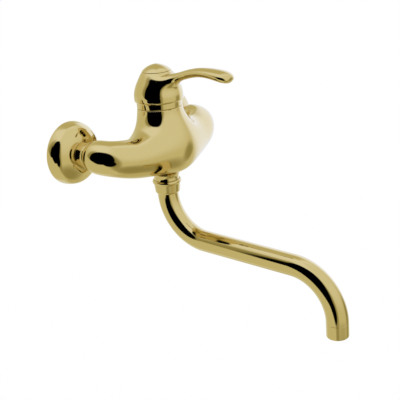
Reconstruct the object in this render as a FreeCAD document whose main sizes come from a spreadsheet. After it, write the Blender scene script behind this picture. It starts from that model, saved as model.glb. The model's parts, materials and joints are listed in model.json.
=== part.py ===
import FreeCAD, Part
import math
import os
import Sketcher

# Wall-mounted single-lever basin mixer with a swinging S spout.
# The origin is midway between the two wall inlets, on the wall's face.
# +X runs along the wall, -Y points out into the room and +Z points up.
# All sizes are millimetres. Screw threads are plain cylinders at their outer size.

document = FreeCAD.newDocument("basin_mixer")

# The driving dimensions. Heights are measured from the inlets' centre line,
# and depths are measured out from the wall's face.
SIZES = {
    "inlet_spacing": 150.0,
    "axis_depth": 60.0,
    # Clearances
    "seat_gap": 0.1,
    "running_gap": 0.05,
    "slide_gap": 0.3,
    # Wall flange, a pressed dome that hides the wall connection
    "flange_radius": 32.0,
    "flange_depth": 19.5,
    "flange_wall": 1.4,
    "flange_side_radius": 31.6,
    "flange_side_depth": 6.8,
    "flange_round_radius": 30.9,
    "flange_round_depth": 9.4,
    "flange_corner_radius": 29.4,
    "flange_corner_depth": 11.7,
    "flange_slope_radius": 27.4,
    "flange_slope_depth": 13.6,
    "flange_shoulder_radius": 25.1,
    "flange_shoulder_depth": 15.2,
    "flange_face_radius": 18.2,
    "flange_face_depth": 18.2,
    # Wall connector, half-inch pipe thread at both ends
    "pipe_thread_radius": 10.48,
    "wall_thread_length": 14.0,
    "connector_bore_radius": 7.2,
    "connector_hexagon": 13.0,
    "connector_hexagon_start": 1.0,
    "connector_hexagon_length": 7.0,
    "connector_depth": 25.0,
    # Union nut, washer and tail between the connector and the casting
    "union_radius": 13.4,
    "union_edge": 0.8,
    "union_lip": 1.6,
    "washer_thickness": 1.5,
    "washer_bore_radius": 6.6,
    "tail_flange_thickness": 1.7,
    "tail_flange_radius": 9.9,
    "tail_thread_radius": 8.3,
    "tail_thread_length": 8.0,
    "tail_bore_radius": 5.8,
    "washer_radius": 10.2,
    # Casting: the outer form of a leg, its elbow and the bar
    "leg_end_radius": 13.5,
    "leg_flare_step": 7.8,
    "leg_flare_radius": 16.6,
    "elbow_back": 10.5,
    "elbow_inset": 3.6,
    "elbow_radius": 17.5,
    "elbow_drop": 1.3,
    "bar_outer_inset": 15.5,
    "bar_outer_back": 1.9,
    "bar_outer_radius": 18.8,
    "bar_outer_drop": 4.3,
    "bar_middle_inset": 31.0,
    "bar_middle_forward": 1.4,
    "bar_middle_radius": 20.9,
    "bar_middle_drop": 7.0,
    "belly_half_width": 22.0,
    "belly_side_forward": 3.0,
    "belly_side_radius": 26.4,
    "belly_side_drop": 7.7,
    "belly_forward": 4.5,
    "belly_radius": 30.4,
    "belly_drop": 5.4,
    # Casting: the tower above the belly and the neck below it
    "tower_height": 35.8,
    "tower_radius": 23.2,
    "tower_neck_drop": 7.8,
    "tower_neck_radius": 24.1,
    "tower_shoulder_drop": 17.8,
    "tower_shoulder_radius": 26.7,
    "tower_shoulder_forward": 1.5,
    "tower_foot_drop": 30.8,
    "tower_foot_radius": 29.6,
    "tower_foot_forward": 2.3,
    "tower_root_height": -7.0,
    "tower_root_radius": 28.0,
    "funnel_top_height": -22.0,
    "funnel_top_radius": 22.0,
    "funnel_top_forward": 3.5,
    "funnel_middle_height": -32.5,
    "funnel_middle_radius": 16.2,
    "funnel_middle_forward": 1.0,
    "neck_straight": 4.2,
    "neck_radius": 13.4,
    "neck_end_drop": 42.2,
    # Casting: the waterways
    "chamber_depth": 29.8,
    "chamber_gap": 0.2,
    "nut_thread_radius": 20.0,
    "thread_relief": 1.0,
    "passage_drop": 7.5,
    "passage_end": 5.6,
    "passage_end_radius": 9.2,
    "passage_inner_inset": 47.0,
    "passage_inner_radius": 12.5,
    "passage_inner_drop": 8.5,
    "passage_mouth_radius": 8.0,
    "passage_swell_step": 4.8,
    "passage_swell_radius": 12.0,
    "cast_wall": 3.5,
    "inlet_port_side": 7.4,
    "inlet_port_front": 4.0,
    "inlet_port_radius": 2.6,
    "outlet_port_back": 6.6,
    "outlet_port_radius": 4.0,
    "outlet_bore_radius": 9.2,
    "outlet_bore_depth": 27.8,
    "outlet_thread_radius": 12.0,
    # Ceramic cartridge, nominal diameter 35
    "cartridge_radius": 17.5,
    "cartridge_wall": 1.4,
    "base_height": 5.2,
    "base_lift": 0.3,
    "base_rim_height": 2.5,
    "base_rim_gap": 0.2,
    "port_seal_height": 1.6,
    "port_seal_wall": 1.3,
    "disc_seal_height": 1.2,
    "disc_seal_squeeze": 0.3,
    "fixed_disc_radius": 14.6,
    "fixed_disc_thickness": 3.5,
    "moving_disc_radius": 13.0,
    "disc_rest_offset": 1.5,
    "moving_disc_thickness": 3.4,
    "disc_film": 0.02,
    "mixing_cavity_depth": 1.8,
    "mixing_cavity_length": 9.6,
    "mixing_cavity_width": 17.0,
    "mixing_cavity_front": 0.9,
    "driver_thickness": 4.5,
    "socket_gap": 0.15,
    "driver_socket_floor": 0.7,
    "driver_lug_width": 4.0,
    "driver_lug_depth": 1.8,
    "driver_lug_height": 1.6,
    "stem_ball_radius": 2.6,
    "stem_neck_radius": 2.1,
    "ball_sink": 0.82,
    "pivot_arm": 8.0,
    "pin_radius": 1.5,
    "pin_length": 21.0,
    "rotor_flange_radius": 15.6,
    "rotor_flange_drop": 2.4,
    "rotor_cheek_gap": 0.2,
    "rotor_slot_front": 5.8,
    "rotor_slot_back": 9.0,
    "key_side": 9.0,
    "key_width": 2.4,
    "key_length": 10.0,
    "key_depth": 1.2,
    "rotor_neck_radius": 11.9,
    "rotor_rise": 0.8,
    "housing_neck_radius": 13.9,
    "housing_rise": 5.4,
    "stem_width": 7.0,
    "stem_square_reach": 3.9,
    "stem_end_gap": 0.4,
    "stem_screw_depth": 12.0,
    # Nut that holds the cartridge, and the domed ring round it
    "nut_collar_height": 2.6,
    "groove_gap": 0.1,
    "nut_collar_radius": 19.6,
    "nut_hexagon": 18.4,
    "nut_hexagon_height": 3.6,
    "nut_bore_gap": 0.5,
    "ring_cord_radius": 0.9,
    "ring_wall": 2.5,
    "ring_straight": 6.6,
    "ring_dome_rise": 9.2,
    "ring_dome_radius": 21.8,
    "ring_height": 11.6,
    "ring_top_radius": 20.0,
    "ring_lip": 1.6,
    # Lever: the cap over the tower and the blade
    "cap_lift": 6.2,
    "cap_rim_radius": 24.7,
    "cap_radius": 25.2,
    "cap_rim_rise": 1.2,
    "cap_straight_rise": 5.5,
    "cap_shoulder_rise": 19.5,
    "cap_shoulder_radius": 20.9,
    "cap_side_rise": 12.5,
    "cap_side_radius": 24.0,
    "cap_upper_rise": 25.5,
    "cap_upper_radius": 17.8,
    "cap_height": 30.2,
    "button_radius": 14.7,
    "cap_skirt_wall": 1.0,
    "cap_cavity_rise": 20.0,
    "cap_cavity_radius": 16.5,
    "cap_cavity_side_radius": 22.4,
    "cap_cavity_side_rise": 11.5,
    "cap_cavity_straight_rise": 5.0,
    "hub_lift": 7.0,
    "hub_radius": 8.2,
    "sleeve_wall": 1.0,
    "recess_web": 5.6,
    "recess_depth": 6.2,
    "recess_radius": 11.6,
    "screw_radius": 2.5,
    "screw_head_radius": 4.4,
    "screw_head_height": 2.8,
    "screw_key_radius": 1.7,
    "screw_key_depth": 1.8,
    "screw_length": 17.0,
    "button_edge": 0.4,
    "button_height": 6.9,
    "button_spigot": 3.0,
    "button_bore_radius": 8.0,
    "button_cord_radius": 0.8,
    "blade_root_reach": 13.0,
    "blade_root_lift": 0.5,
    "blade_root_width": 33.0,
    "blade_root_thickness": 17.0,
    "blade_fan_step": 7.5,
    "blade_fan_lift": 2.2,
    "blade_fan_width": 21.0,
    "blade_fan_thickness": 13.2,
    "blade_neck_step": 7.5,
    "blade_neck_lift": 2.9,
    "blade_neck_width": 14.4,
    "blade_neck_thickness": 9.2,
    "blade_rise_step": 14.0,
    "blade_rise_lift": 4.5,
    "blade_rise_width": 13.2,
    "blade_rise_thickness": 8.7,
    "blade_crown_step": 18.0,
    "blade_crown_lift": 2.8,
    "blade_crown_width": 16.6,
    "blade_crown_thickness": 9.4,
    "blade_paddle_step": 18.0,
    "blade_paddle_lift": -1.2,
    "blade_paddle_width": 20.0,
    "blade_paddle_thickness": 10.9,
    "blade_tip_step": 16.8,
    "blade_tip_lift": -4.3,
    "blade_tip_round": 8.0,
    # Spout nut under the casting
    "spout_nut_height": 14.6,
    "spout_nut_bead_radius": 15.2,
    "spout_nut_bead_height": 4.6,
    "spout_nut_waist_radius": 13.9,
    "spout_nut_foot_radius": 13.1,
    "spout_nut_foot_rise": 2.6,
    "spout_nut_foot_round_radius": 12.8,
    "spout_nut_end_radius": 11.9,
    "spout_nut_lip": 3.5,
    "slip_ring_thickness": 1.0,
    "spout_collar_thickness": 1.6,
    "thrust_ring_thickness": 1.05,
    # Spout
    "tube_radius": 11.0,
    "tube_wall": 1.5,
    "first_bend_radius": 48.0,
    "second_bend_radius": 50.0,
    "bend_angle": 88.0,
    "tube_run": 106.4,
    "outlet_run": 0.3,
    "tail_short": 4.0,
    "tail_sleeve_bore": 6.2,
    "tail_spigot_length": 5.0,
    "spout_cord_radius": 0.9,
    "spout_ring_inset": 4.0,
    "spout_ring_pitch": 6.0,
    # Aerator
    "aerator_height": 14.8,
    "aerator_bore_radius": 8.3,
    "aerator_thread_radius": 9.3,
    "aerator_thread_length": 3.0,
    "aerator_edge": 0.4,
    "aerator_mouth_round": 1.2,
    "aerator_washer_thickness": 1.4,
    "aerator_washer_wall": 1.4,
    "aerator_insert_height": 9.0,
    "aerator_lip": 0.9,
    "aerator_lip_radius": 7.6,
    "aerator_hole_radius": 0.75,
    "aerator_hole_pitch": 2.5,
    "screen_thickness": 0.6,
    "screen_hole_radius": 0.9,
}


class Length:
    """A size, held both as a number and as the sheet formula that gives it."""

    def __init__(self, number, formula):
        self.number = float(number)
        self.formula = formula

    def combined(self, other, number, sign):
        return Length(number, "(" + self.formula + " " + sign + " " + as_length(other).formula + ")")

    def __add__(self, other):
        return self.combined(other, self.number + as_length(other).number, "+")

    def __sub__(self, other):
        return self.combined(other, self.number - as_length(other).number, "-")

    def __mul__(self, other):
        return self.combined(other, self.number * as_length(other).number, "*")

    def __truediv__(self, other):
        return self.combined(other, self.number / as_length(other).number, "/")

    def __rsub__(self, other):
        return as_length(other) - self

    def __neg__(self):
        return Length(-self.number, "(0 - " + self.formula + ")")


def as_length(value):
    """Give a plain number the same form as a named size."""
    if isinstance(value, Length):
        return value
    return Length(value, repr(float(value)))


class Named:
    """Every named size as an attribute, filled from the sheet."""


sheet = document.addObject("Spreadsheet::Sheet", "Sizes")
size = Named()
for row, name in enumerate(SIZES, start=1):
    sheet.set("A" + str(row), name)
    sheet.set("B" + str(row), str(SIZES[name]))
    sheet.setAlias("B" + str(row), name)
    setattr(size, name, Length(SIZES[name], "Sizes." + name))
document.recompute()

ZERO = as_length(0)
FLANGE_LEAN = 0.7
FLANGE_DROP = 0.87
HALF_SPACING = size.inlet_spacing / 2
AXIS_Y = -size.axis_depth
TOWER = (ZERO, AXIS_Y, ZERO)
OUT_OF_WALL = FreeCAD.Rotation(FreeCAD.Vector(1, 0, 0), 90)
SIDES = {"left": -1, "right": 1}

# Depths that follow from the named sizes, out from the wall

union_start = size.flange_depth + size.seat_gap
tail_flange_start = size.connector_depth + size.washer_thickness
tail_flange_end = tail_flange_start + size.tail_flange_thickness
union_lip_start = tail_flange_end + size.seat_gap
union_end = union_lip_start + size.union_lip
leg_depth = union_end + size.slide_gap
leg_flare_depth = leg_depth + size.leg_flare_step
elbow_depth = size.axis_depth - size.elbow_back
bar_outer_depth = size.axis_depth - size.bar_outer_back
bar_middle_depth = size.axis_depth + size.bar_middle_forward
belly_side_depth = size.axis_depth + size.belly_side_forward
belly_depth = size.axis_depth + size.belly_forward
tower_shoulder_depth = size.axis_depth + size.tower_shoulder_forward
tower_foot_depth = size.axis_depth + size.tower_foot_forward
funnel_top_depth = size.axis_depth + size.funnel_top_forward
funnel_middle_depth = size.axis_depth + size.funnel_middle_forward

# Heights that follow from the named sizes, from the tower up and from the neck down

seat_height = size.tower_height - size.chamber_depth
tower_neck_height = size.tower_height - size.tower_neck_drop
tower_shoulder_height = size.tower_height - size.tower_shoulder_drop
tower_foot_height = size.tower_height - size.tower_foot_drop
ring_shoulder = size.tower_height + size.ring_straight
ring_dome_height = size.tower_height + size.ring_dome_rise
ring_top = size.tower_height + size.ring_height
cap_bottom = size.tower_height + size.cap_lift
cap_straight_top = cap_bottom + size.cap_straight_rise
cap_side_height = cap_bottom + size.cap_side_rise
cap_shoulder_height = cap_bottom + size.cap_shoulder_rise
cap_upper_height = cap_bottom + size.cap_upper_rise
cap_top = cap_bottom + size.cap_height
cap_cavity_straight_top = cap_bottom + size.cap_cavity_straight_rise
cap_cavity_side_height = cap_bottom + size.cap_cavity_side_rise
cap_ceiling = cap_bottom + size.cap_cavity_rise
hub_bottom = cap_bottom + size.hub_lift
recess_floor = cap_top - size.recess_depth
socket_top = recess_floor - size.recess_web
stem_top = socket_top - size.stem_end_gap
neck_end_height = -size.neck_end_drop
neck_height = neck_end_height + size.neck_straight
spout_nut_top = neck_end_height - size.seat_gap * 2
spout_nut_bottom = spout_nut_top - size.spout_nut_height
tube_bend_top = spout_nut_bottom - size.seat_gap * 2
slip_ring_bottom = spout_nut_bottom + size.spout_nut_lip
collar_bottom = slip_ring_bottom + size.slip_ring_thickness
collar_high = collar_bottom + size.spout_collar_thickness
outlet_end_height = collar_high + size.running_gap + size.thrust_ring_thickness
outlet_bore_top = outlet_end_height + size.outlet_bore_depth
tail_top = outlet_bore_top - size.tail_short
base_bottom = seat_height + size.base_lift
base_top = base_bottom + size.base_height
fixed_disc_bottom = base_top + size.disc_seal_squeeze
fixed_disc_top = fixed_disc_bottom + size.fixed_disc_thickness
moving_disc_bottom = fixed_disc_top + size.disc_film
driver_bottom = moving_disc_bottom + size.moving_disc_thickness
driver_top = driver_bottom + size.driver_thickness
rotor_bottom = driver_top + size.slide_gap
ball_height = driver_top - size.ball_sink
pivot_height = ball_height + size.pivot_arm
stem_square_bottom = pivot_height - size.stem_square_reach
rotor_flange_top = pivot_height - size.rotor_flange_drop
housing_shoulder = rotor_flange_top + size.rotor_cheek_gap + size.cartridge_wall
housing_top = size.tower_height + size.housing_rise
rotor_top = housing_top + size.rotor_rise
nut_thread_start = housing_shoulder - size.thread_relief
housing_inner_radius = size.cartridge_radius - size.cartridge_wall
chamber_radius = size.cartridge_radius + size.chamber_gap

pieces = []


def vector(x, y, z):
    """A point from named sizes or numbers."""
    return FreeCAD.Vector(as_length(x).number, as_length(y).number, as_length(z).number)


def put(item, where, rotation=None):
    """Place an object, with each coordinate bound to the sheet."""
    item.Placement = FreeCAD.Placement(vector(*where), rotation or FreeCAD.Rotation())
    for letter, value in zip("xyz", where):
        item.setExpression("Placement.Base." + letter, as_length(value).formula)
    return item


def keep(item, label):
    """Name an object as one of the finished pieces."""
    item.Label = label
    pieces.append(item)
    return item


# Turned pieces: an outline of radius and height, revolved about the local Z axis


def outline_edge(start, end, through):
    """One edge of an outline, straight or an arc through a middle point.

    The ends' numbers follow, because a sketch's arcs always run anticlockwise.
    """
    first = vector(start[0], start[1], 0)
    last = vector(end[0], end[1], 0)
    if through is None:
        return Part.LineSegment(first, last), 1, 2
    middle = vector(through[0], through[1], 0)
    if (middle - first).cross(last - middle).z > 0:
        return Part.Arc(first, middle, last), 1, 2
    return Part.Arc(last, middle, first), 2, 1


def fix_corner(sketch, edge, end, corner):
    """Hold one corner of an outline at its radius and height from the sheet."""
    for kind, axis, value in (("DistanceX", -2, corner[0]), ("DistanceY", -1, corner[1])):
        value = as_length(value)
        if value.number == 0:
            sketch.addConstraint(Sketcher.Constraint("PointOnObject", edge, end, axis))
            continue
        index = sketch.addConstraint(Sketcher.Constraint(kind, -1, 1, edge, end, value.number))
        sketch.setExpression("Constraints[" + str(index) + "]", value.formula)


def turned(name, corners, arcs=None):
    """Make a body by turning an outline. arcs[n] is a point on the arc that leaves corner n."""
    body = document.addObject("PartDesign::Body", name)
    plane = [item for item in body.Origin.OriginFeatures if item.Role == "XZ_Plane"][0]
    sketch = body.newObject("Sketcher::SketchObject", name + "_outline")
    sketch.AttachmentSupport = [(plane, "")]
    sketch.MapMode = "FlatFace"
    count = len(corners)
    ends = []
    for index in range(count):
        through = (arcs or {}).get(index)
        edge, first, last = outline_edge(corners[index], corners[(index + 1) % count], through)
        sketch.addGeometry(edge, False)
        ends.append((first, last))
    for index in range(count):
        last = ends[index - 1][1]
        first = ends[index][0]
        joint = Sketcher.Constraint("Coincident", (index - 1) % count, last, index, first)
        sketch.addConstraint(joint)
        fix_corner(sketch, index, first, corners[index])
    revolution = body.newObject("PartDesign::Revolution", name + "_turned")
    revolution.Profile = sketch
    revolution.ReferenceAxis = (sketch, ["V_Axis"])
    revolution.Angle = 360
    return body


def washer(name, inner, outer, bottom, top):
    """A flat ring between two radii and two heights."""
    return turned(name, [(inner, bottom), (outer, bottom), (outer, top), (inner, top)])


def cylinder(name, radius, height, where, rotation=None):
    """A plain round bar, its base at the given point."""
    bar = document.addObject("Part::Cylinder", name)
    bar.setExpression("Radius", as_length(radius).formula)
    bar.setExpression("Height", as_length(height).formula)
    return put(bar, where, rotation)


def block(name, across, deep, high, where):
    """A box centred in plan on the given point, which is at its bottom."""
    box = document.addObject("Part::Box", name)
    box.setExpression("Length", as_length(across).formula)
    box.setExpression("Width", as_length(deep).formula)
    box.setExpression("Height", as_length(high).formula)
    left = as_length(where[0]) - as_length(across) / 2
    front = as_length(where[1]) - as_length(deep) / 2
    return put(box, (left, front, where[2]))


def prism(name, sides, corner_radius, height, where, rotation=None):
    """A straight bar with a regular outline, its base at the given point."""
    bar = document.addObject("Part::Prism", name)
    bar.Polygon = sides
    bar.setExpression("Circumradius", as_length(corner_radius).formula)
    bar.setExpression("Height", as_length(height).formula)
    return put(bar, where, rotation)


def cord_ring(name, ring_radius, cord_radius, height):
    """An O-ring on the local Z axis."""
    ring = document.addObject("Part::Torus", name)
    ring.setExpression("Radius1", as_length(ring_radius).formula)
    ring.setExpression("Radius2", as_length(cord_radius).formula)
    return put(ring, (ZERO, AXIS_Y, height))


def joined(name, items):
    """Join several solids into one."""
    fuse = document.addObject("Part::MultiFuse", name)
    fuse.Shapes = items
    return fuse


def cut(name, base, tools):
    """Take one or more tools away from a solid."""
    tool = tools[0] if len(tools) == 1 else joined(name + "_tools", tools)
    result = document.addObject("Part::Cut", name)
    result.Base = base
    result.Tool = tool
    return result


def group(name, items):
    """Keep several separate solids together as one piece."""
    compound = document.addObject("Part::Compound", name)
    compound.Links = items
    return compound


# Lofted pieces: round or oval sections strung along a path


def section(name, wide, high, where, rotation):
    """An oval across a path, wide along its local X and high along its local Y."""
    oval = document.addObject("Part::Ellipse", name)
    oval.setExpression("MajorRadius", (as_length(wide) / 2).formula)
    oval.setExpression("MinorRadius", (as_length(high) / 2).formula)
    return put(oval, where, rotation)


def loft(name, sections):
    """A smooth solid through its sections."""
    skin = document.addObject("Part::Loft", name)
    skin.Sections = sections
    skin.Solid = True
    skin.Ruled = False
    return skin


def across(path, index):
    """The turn that sets a section square to a path, its local X kept level with the path's plane."""
    before = path[max(index - 1, 0)]
    after = path[min(index + 1, len(path) - 1)]
    along = (after - before).normalize()
    up = FreeCAD.Vector(0, 0, 1)
    level = up.cross(along).normalize()
    return FreeCAD.Rotation(level, along.cross(level), along, "ZXY")


def rod(name, radius, start, end):
    """A round bar from one point to another."""
    bar = cylinder(name, radius, as_length((end - start).Length), (start.x, start.y, start.z))
    turn = FreeCAD.Rotation(FreeCAD.Vector(0, 0, 1), end - start)
    bar.Placement = FreeCAD.Placement(start, turn)
    return bar


def ball(name, radius, where):
    """A whole ball centred on a point."""
    item = document.addObject("Part::Sphere", name)
    item.setExpression("Radius", as_length(radius).formula)
    return put(item, where)


def disc_section(name, radius, where, rotation=None):
    """A round section for a loft."""
    circle = document.addObject("Part::Circle", name)
    circle.setExpression("Radius", as_length(radius).formula)
    return put(circle, where, rotation)


# Wall connection, one set for each inlet. Depths run out from the wall.


def wall_flange(side, where):
    """The pressed dome that covers the wall connection."""
    hole = size.pipe_thread_radius + size.slide_gap
    wall = size.flange_wall
    corners = [
        (hole, size.flange_depth - wall),
        (hole, size.flange_depth),
        (size.flange_shoulder_radius, size.flange_shoulder_depth),
        (size.flange_corner_radius, size.flange_corner_depth),
        (size.flange_side_radius, size.flange_side_depth),
        (size.flange_radius, ZERO),
        (size.flange_radius - wall, ZERO),
        (size.flange_side_radius - wall, size.flange_side_depth),
        (size.flange_corner_radius - wall * FLANGE_LEAN, size.flange_corner_depth - wall * FLANGE_LEAN),
        (size.flange_shoulder_radius - wall / 2, size.flange_shoulder_depth - wall * FLANGE_DROP),
    ]
    arcs = {
        1: (size.flange_face_radius, size.flange_face_depth),
        2: (size.flange_slope_radius, size.flange_slope_depth),
        3: (size.flange_round_radius, size.flange_round_depth),
        7: (size.flange_round_radius - wall * FLANGE_DROP, size.flange_round_depth - wall / 2),
        8: (size.flange_slope_radius - wall * FLANGE_LEAN, size.flange_slope_depth - wall * FLANGE_LEAN),
        9: (size.flange_face_radius - wall / 3, size.flange_face_depth - wall),
    }
    return put(turned(side + "_flange_dome", corners, arcs), where, OUT_OF_WALL)


def connector(side, where):
    """The threaded nipple between the pipe in the wall and the union nut."""
    whole = size.wall_thread_length + size.connector_depth
    inner_end = (where[0], size.wall_thread_length, ZERO)
    barrel = cylinder(side + "_nipple", size.pipe_thread_radius, whole, inner_end, OUT_OF_WALL)
    hexagon_start = (where[0], -size.connector_hexagon_start, ZERO)
    length = size.connector_hexagon_length
    hexagon = prism(side + "_nipple_hexagon", 6, size.connector_hexagon, length, hexagon_start, OUT_OF_WALL)
    blank = joined(side + "_nipple_blank", [barrel, hexagon])
    bore = cylinder(side + "_nipple_bore", size.connector_bore_radius, whole, inner_end, OUT_OF_WALL)
    return cut(side + "_nipple_bored", blank, [bore])


def union_nut(side, where):
    """The smooth round nut that pulls the casting's leg onto the connector."""
    thread = size.pipe_thread_radius + size.seat_gap
    lip = size.tail_thread_radius + size.slide_gap
    edge = size.union_edge
    corners = [
        (thread, union_start),
        (size.union_radius - edge, union_start),
        (size.union_radius, union_start + edge),
        (size.union_radius, union_end - edge),
        (size.union_radius - edge, union_end),
        (lip, union_end),
        (lip, union_lip_start),
        (thread, union_lip_start),
    ]
    return put(turned(side + "_union", corners), where, OUT_OF_WALL)


def inlet_washer(side, where):
    """The flat fibre washer between the connector and the tail."""
    ring = washer(side + "_fibre_ring", size.washer_bore_radius, size.washer_radius,
                  size.connector_depth, tail_flange_start)
    return put(ring, where, OUT_OF_WALL)


def tail(side, where):
    """The flanged tail that screws into the leg and holds the union nut."""
    tail_end = leg_depth + size.tail_thread_length
    corners = [
        (size.tail_bore_radius, tail_flange_start),
        (size.tail_flange_radius, tail_flange_start),
        (size.tail_flange_radius, tail_flange_end),
        (size.tail_thread_radius, tail_flange_end),
        (size.tail_thread_radius, tail_end),
        (size.tail_bore_radius, tail_end),
    ]
    return put(turned(side + "_tail_body", corners), where, OUT_OF_WALL)


for side, sign in SIDES.items():
    inlet = (HALF_SPACING * sign, ZERO, ZERO)
    keep(wall_flange(side, inlet), side + "_wall_flange")
    keep(connector(side, inlet), side + "_wall_connector")
    keep(union_nut(side, inlet), side + "_union_nut")
    keep(inlet_washer(side, inlet), side + "_inlet_washer")
    keep(tail(side, inlet), side + "_inlet_tail")


# Casting: two legs and a bar in one sweep, a tower above and a neck below


def bar_stations():
    """Places and radii of the sections from the right leg to the middle of the belly."""
    return [
        (HALF_SPACING, leg_depth, ZERO, size.leg_end_radius),
        (HALF_SPACING, leg_flare_depth, ZERO, size.leg_flare_radius),
        (HALF_SPACING - size.elbow_inset, elbow_depth, size.elbow_drop, size.elbow_radius),
        (HALF_SPACING - size.bar_outer_inset, bar_outer_depth, size.bar_outer_drop, size.bar_outer_radius),
        (HALF_SPACING - size.bar_middle_inset, bar_middle_depth, size.bar_middle_drop,
         size.bar_middle_radius),
        (size.belly_half_width, belly_side_depth, size.belly_side_drop, size.belly_side_radius),
        (ZERO, belly_depth, size.belly_drop, size.belly_radius),
    ]


def bar_and_legs():
    """The outer form of both legs, both elbows and the bar as one loft."""
    right = bar_stations()
    left = [(-x, depth, drop, radius) for x, depth, drop, radius in right[:-1]]
    stations = right + left[::-1]
    path = [vector(x, -depth, -drop) for x, depth, drop, radius in stations]
    sections = []
    for index, (x, depth, drop, radius) in enumerate(stations):
        name = "bar_section_" + str(index + 1)
        sections.append(disc_section(name, radius, (x, -depth, -drop), across(path, index)))
    return loft("bar_and_legs", sections)


def upright(name, stations):
    """A loft through level circles, each given by its height, depth and radius."""
    sections = []
    for index, (height, depth, radius) in enumerate(stations):
        sections.append(disc_section(name + "_section_" + str(index + 1), radius, (ZERO, -depth, height)))
    return loft(name, sections)


def waterway(side, sign):
    """The cast passage from one leg round the elbow to under the cartridge."""
    socket_depth = size.tail_thread_length + size.seat_gap
    mouth_depth = leg_depth + socket_depth
    elbow, bar_outer, bar_middle = bar_stations()[2:5]
    stations = [
        (HALF_SPACING, mouth_depth, ZERO, size.passage_mouth_radius),
        (HALF_SPACING, mouth_depth + size.passage_swell_step, ZERO, size.passage_swell_radius),
    ]
    for x, depth, drop, radius in (elbow, bar_outer, bar_middle):
        stations.append((x, depth, drop, radius - size.cast_wall))
    stations.append((HALF_SPACING - size.passage_inner_inset, size.axis_depth, size.passage_inner_drop,
                     size.passage_inner_radius))
    stations.append((size.passage_end, size.axis_depth, size.passage_drop, size.passage_end_radius))
    path = [vector(x * sign, -depth, -drop) for x, depth, drop, radius in stations]
    sections = []
    for index, (x, depth, drop, radius) in enumerate(stations):
        name = side + "_passage_section_" + str(index + 1)
        sections.append(disc_section(name, radius, (x * sign, -depth, -drop), across(path, index)))
    socket = cylinder(side + "_tail_socket", size.tail_thread_radius + size.seat_gap, socket_depth,
                      (HALF_SPACING * sign, -leg_depth, ZERO), OUT_OF_WALL)
    port = cylinder(side + "_seat_port", size.inlet_port_radius, seat_height + size.passage_drop,
                    (size.inlet_port_side * sign, AXIS_Y - size.inlet_port_front, -size.passage_drop))
    return [loft(side + "_passage", sections), socket, port]


def body_casting():
    """The hollow body with its waterways, cartridge chamber and threaded outlet."""
    tower = upright("tower", [
        (size.tower_root_height, tower_foot_depth, size.tower_root_radius),
        (tower_foot_height, tower_foot_depth, size.tower_foot_radius),
        (tower_shoulder_height, tower_shoulder_depth, size.tower_shoulder_radius),
        (tower_neck_height, size.axis_depth, size.tower_neck_radius),
        (size.tower_height, size.axis_depth, size.tower_radius),
    ])
    neck = upright("neck", [
        (size.funnel_top_height, funnel_top_depth, size.funnel_top_radius),
        (size.funnel_middle_height, funnel_middle_depth, size.funnel_middle_radius),
        (neck_height, size.axis_depth, size.neck_radius),
        (neck_end_height, size.axis_depth, size.neck_radius),
    ])
    outlet_foot = (ZERO, AXIS_Y, outlet_end_height)
    outlet_length = neck_height - outlet_end_height
    spigot = cylinder("outlet_spigot", size.outlet_thread_radius, outlet_length, outlet_foot)
    blank = joined("casting_blank", [bar_and_legs(), tower, neck, spigot])
    chamber_depth = size.tower_height - seat_height
    thread_depth = size.tower_height - nut_thread_start
    outlet_port_at = (ZERO, AXIS_Y + size.outlet_port_back, outlet_bore_top - size.outlet_port_radius)
    outlet_port_rise = seat_height - outlet_bore_top + size.outlet_port_radius
    outlet_depth = outlet_bore_top - outlet_end_height
    tools = [
        cylinder("chamber", chamber_radius, chamber_depth, (ZERO, AXIS_Y, seat_height)),
        cylinder("nut_thread", size.nut_thread_radius, thread_depth, (ZERO, AXIS_Y, nut_thread_start)),
        cylinder("outlet_port", size.outlet_port_radius, outlet_port_rise, outlet_port_at),
        cylinder("outlet_bore", size.outlet_bore_radius, outlet_depth, outlet_foot),
    ]
    for side, sign in SIDES.items():
        tools += waterway(side, sign)
    return cut("casting_bored", blank, tools)


keep(body_casting(), "body_casting")


# Cartridge, from the seals on the casting's seat up to the rotor

PORTS = {
    "left": (-size.inlet_port_side, AXIS_Y - size.inlet_port_front, size.inlet_port_radius),
    "right": (size.inlet_port_side, AXIS_Y - size.inlet_port_front, size.inlet_port_radius),
    "outlet": (ZERO, AXIS_Y + size.outlet_port_back, size.outlet_port_radius),
}
MOVING_AXIS_Y = AXIS_Y + size.disc_rest_offset


def port_tools(name, extra, bottom, height):
    """Upright round cutters at the three ports, wider than each port by a margin."""
    tools = []
    for port, (x, y, radius) in PORTS.items():
        tools.append(cylinder(name + "_" + port, radius + extra, height, (x, y, bottom)))
    return tools


def port_seals(name, bottom, height):
    """Three separate rubber rings, one round each port."""
    rings = []
    for port, (x, y, radius) in PORTS.items():
        ring = washer(name + "_" + port, radius, radius + size.port_seal_wall, ZERO, height)
        rings.append(put(ring, (x, y, bottom)))
    return group(name, rings)


def cartridge_base():
    """The plastic foot of the cartridge, with ports, seal recesses and a rim round the fixed disc."""
    outer = housing_inner_radius - size.seat_gap
    inner = size.fixed_disc_radius + size.base_rim_gap
    rim_top = base_top + size.base_rim_height
    corners = [
        (ZERO, base_bottom),
        (outer, base_bottom),
        (outer, rim_top),
        (inner, rim_top),
        (inner, base_top),
        (ZERO, base_top),
    ]
    blank = put(turned("base_blank", corners), TOWER)
    recess_extra = size.port_seal_wall + size.seat_gap
    lower_depth = size.port_seal_height - size.base_lift + size.seat_gap
    upper_depth = size.disc_seal_height - size.disc_seal_squeeze + size.seat_gap
    tools = port_tools("base_port", 0, base_bottom, size.base_height)
    tools += port_tools("base_lower_recess", recess_extra, base_bottom, lower_depth)
    tools += port_tools("base_upper_recess", recess_extra, base_top - upper_depth, upper_depth)
    return cut("base_bored", blank, tools)


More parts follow.
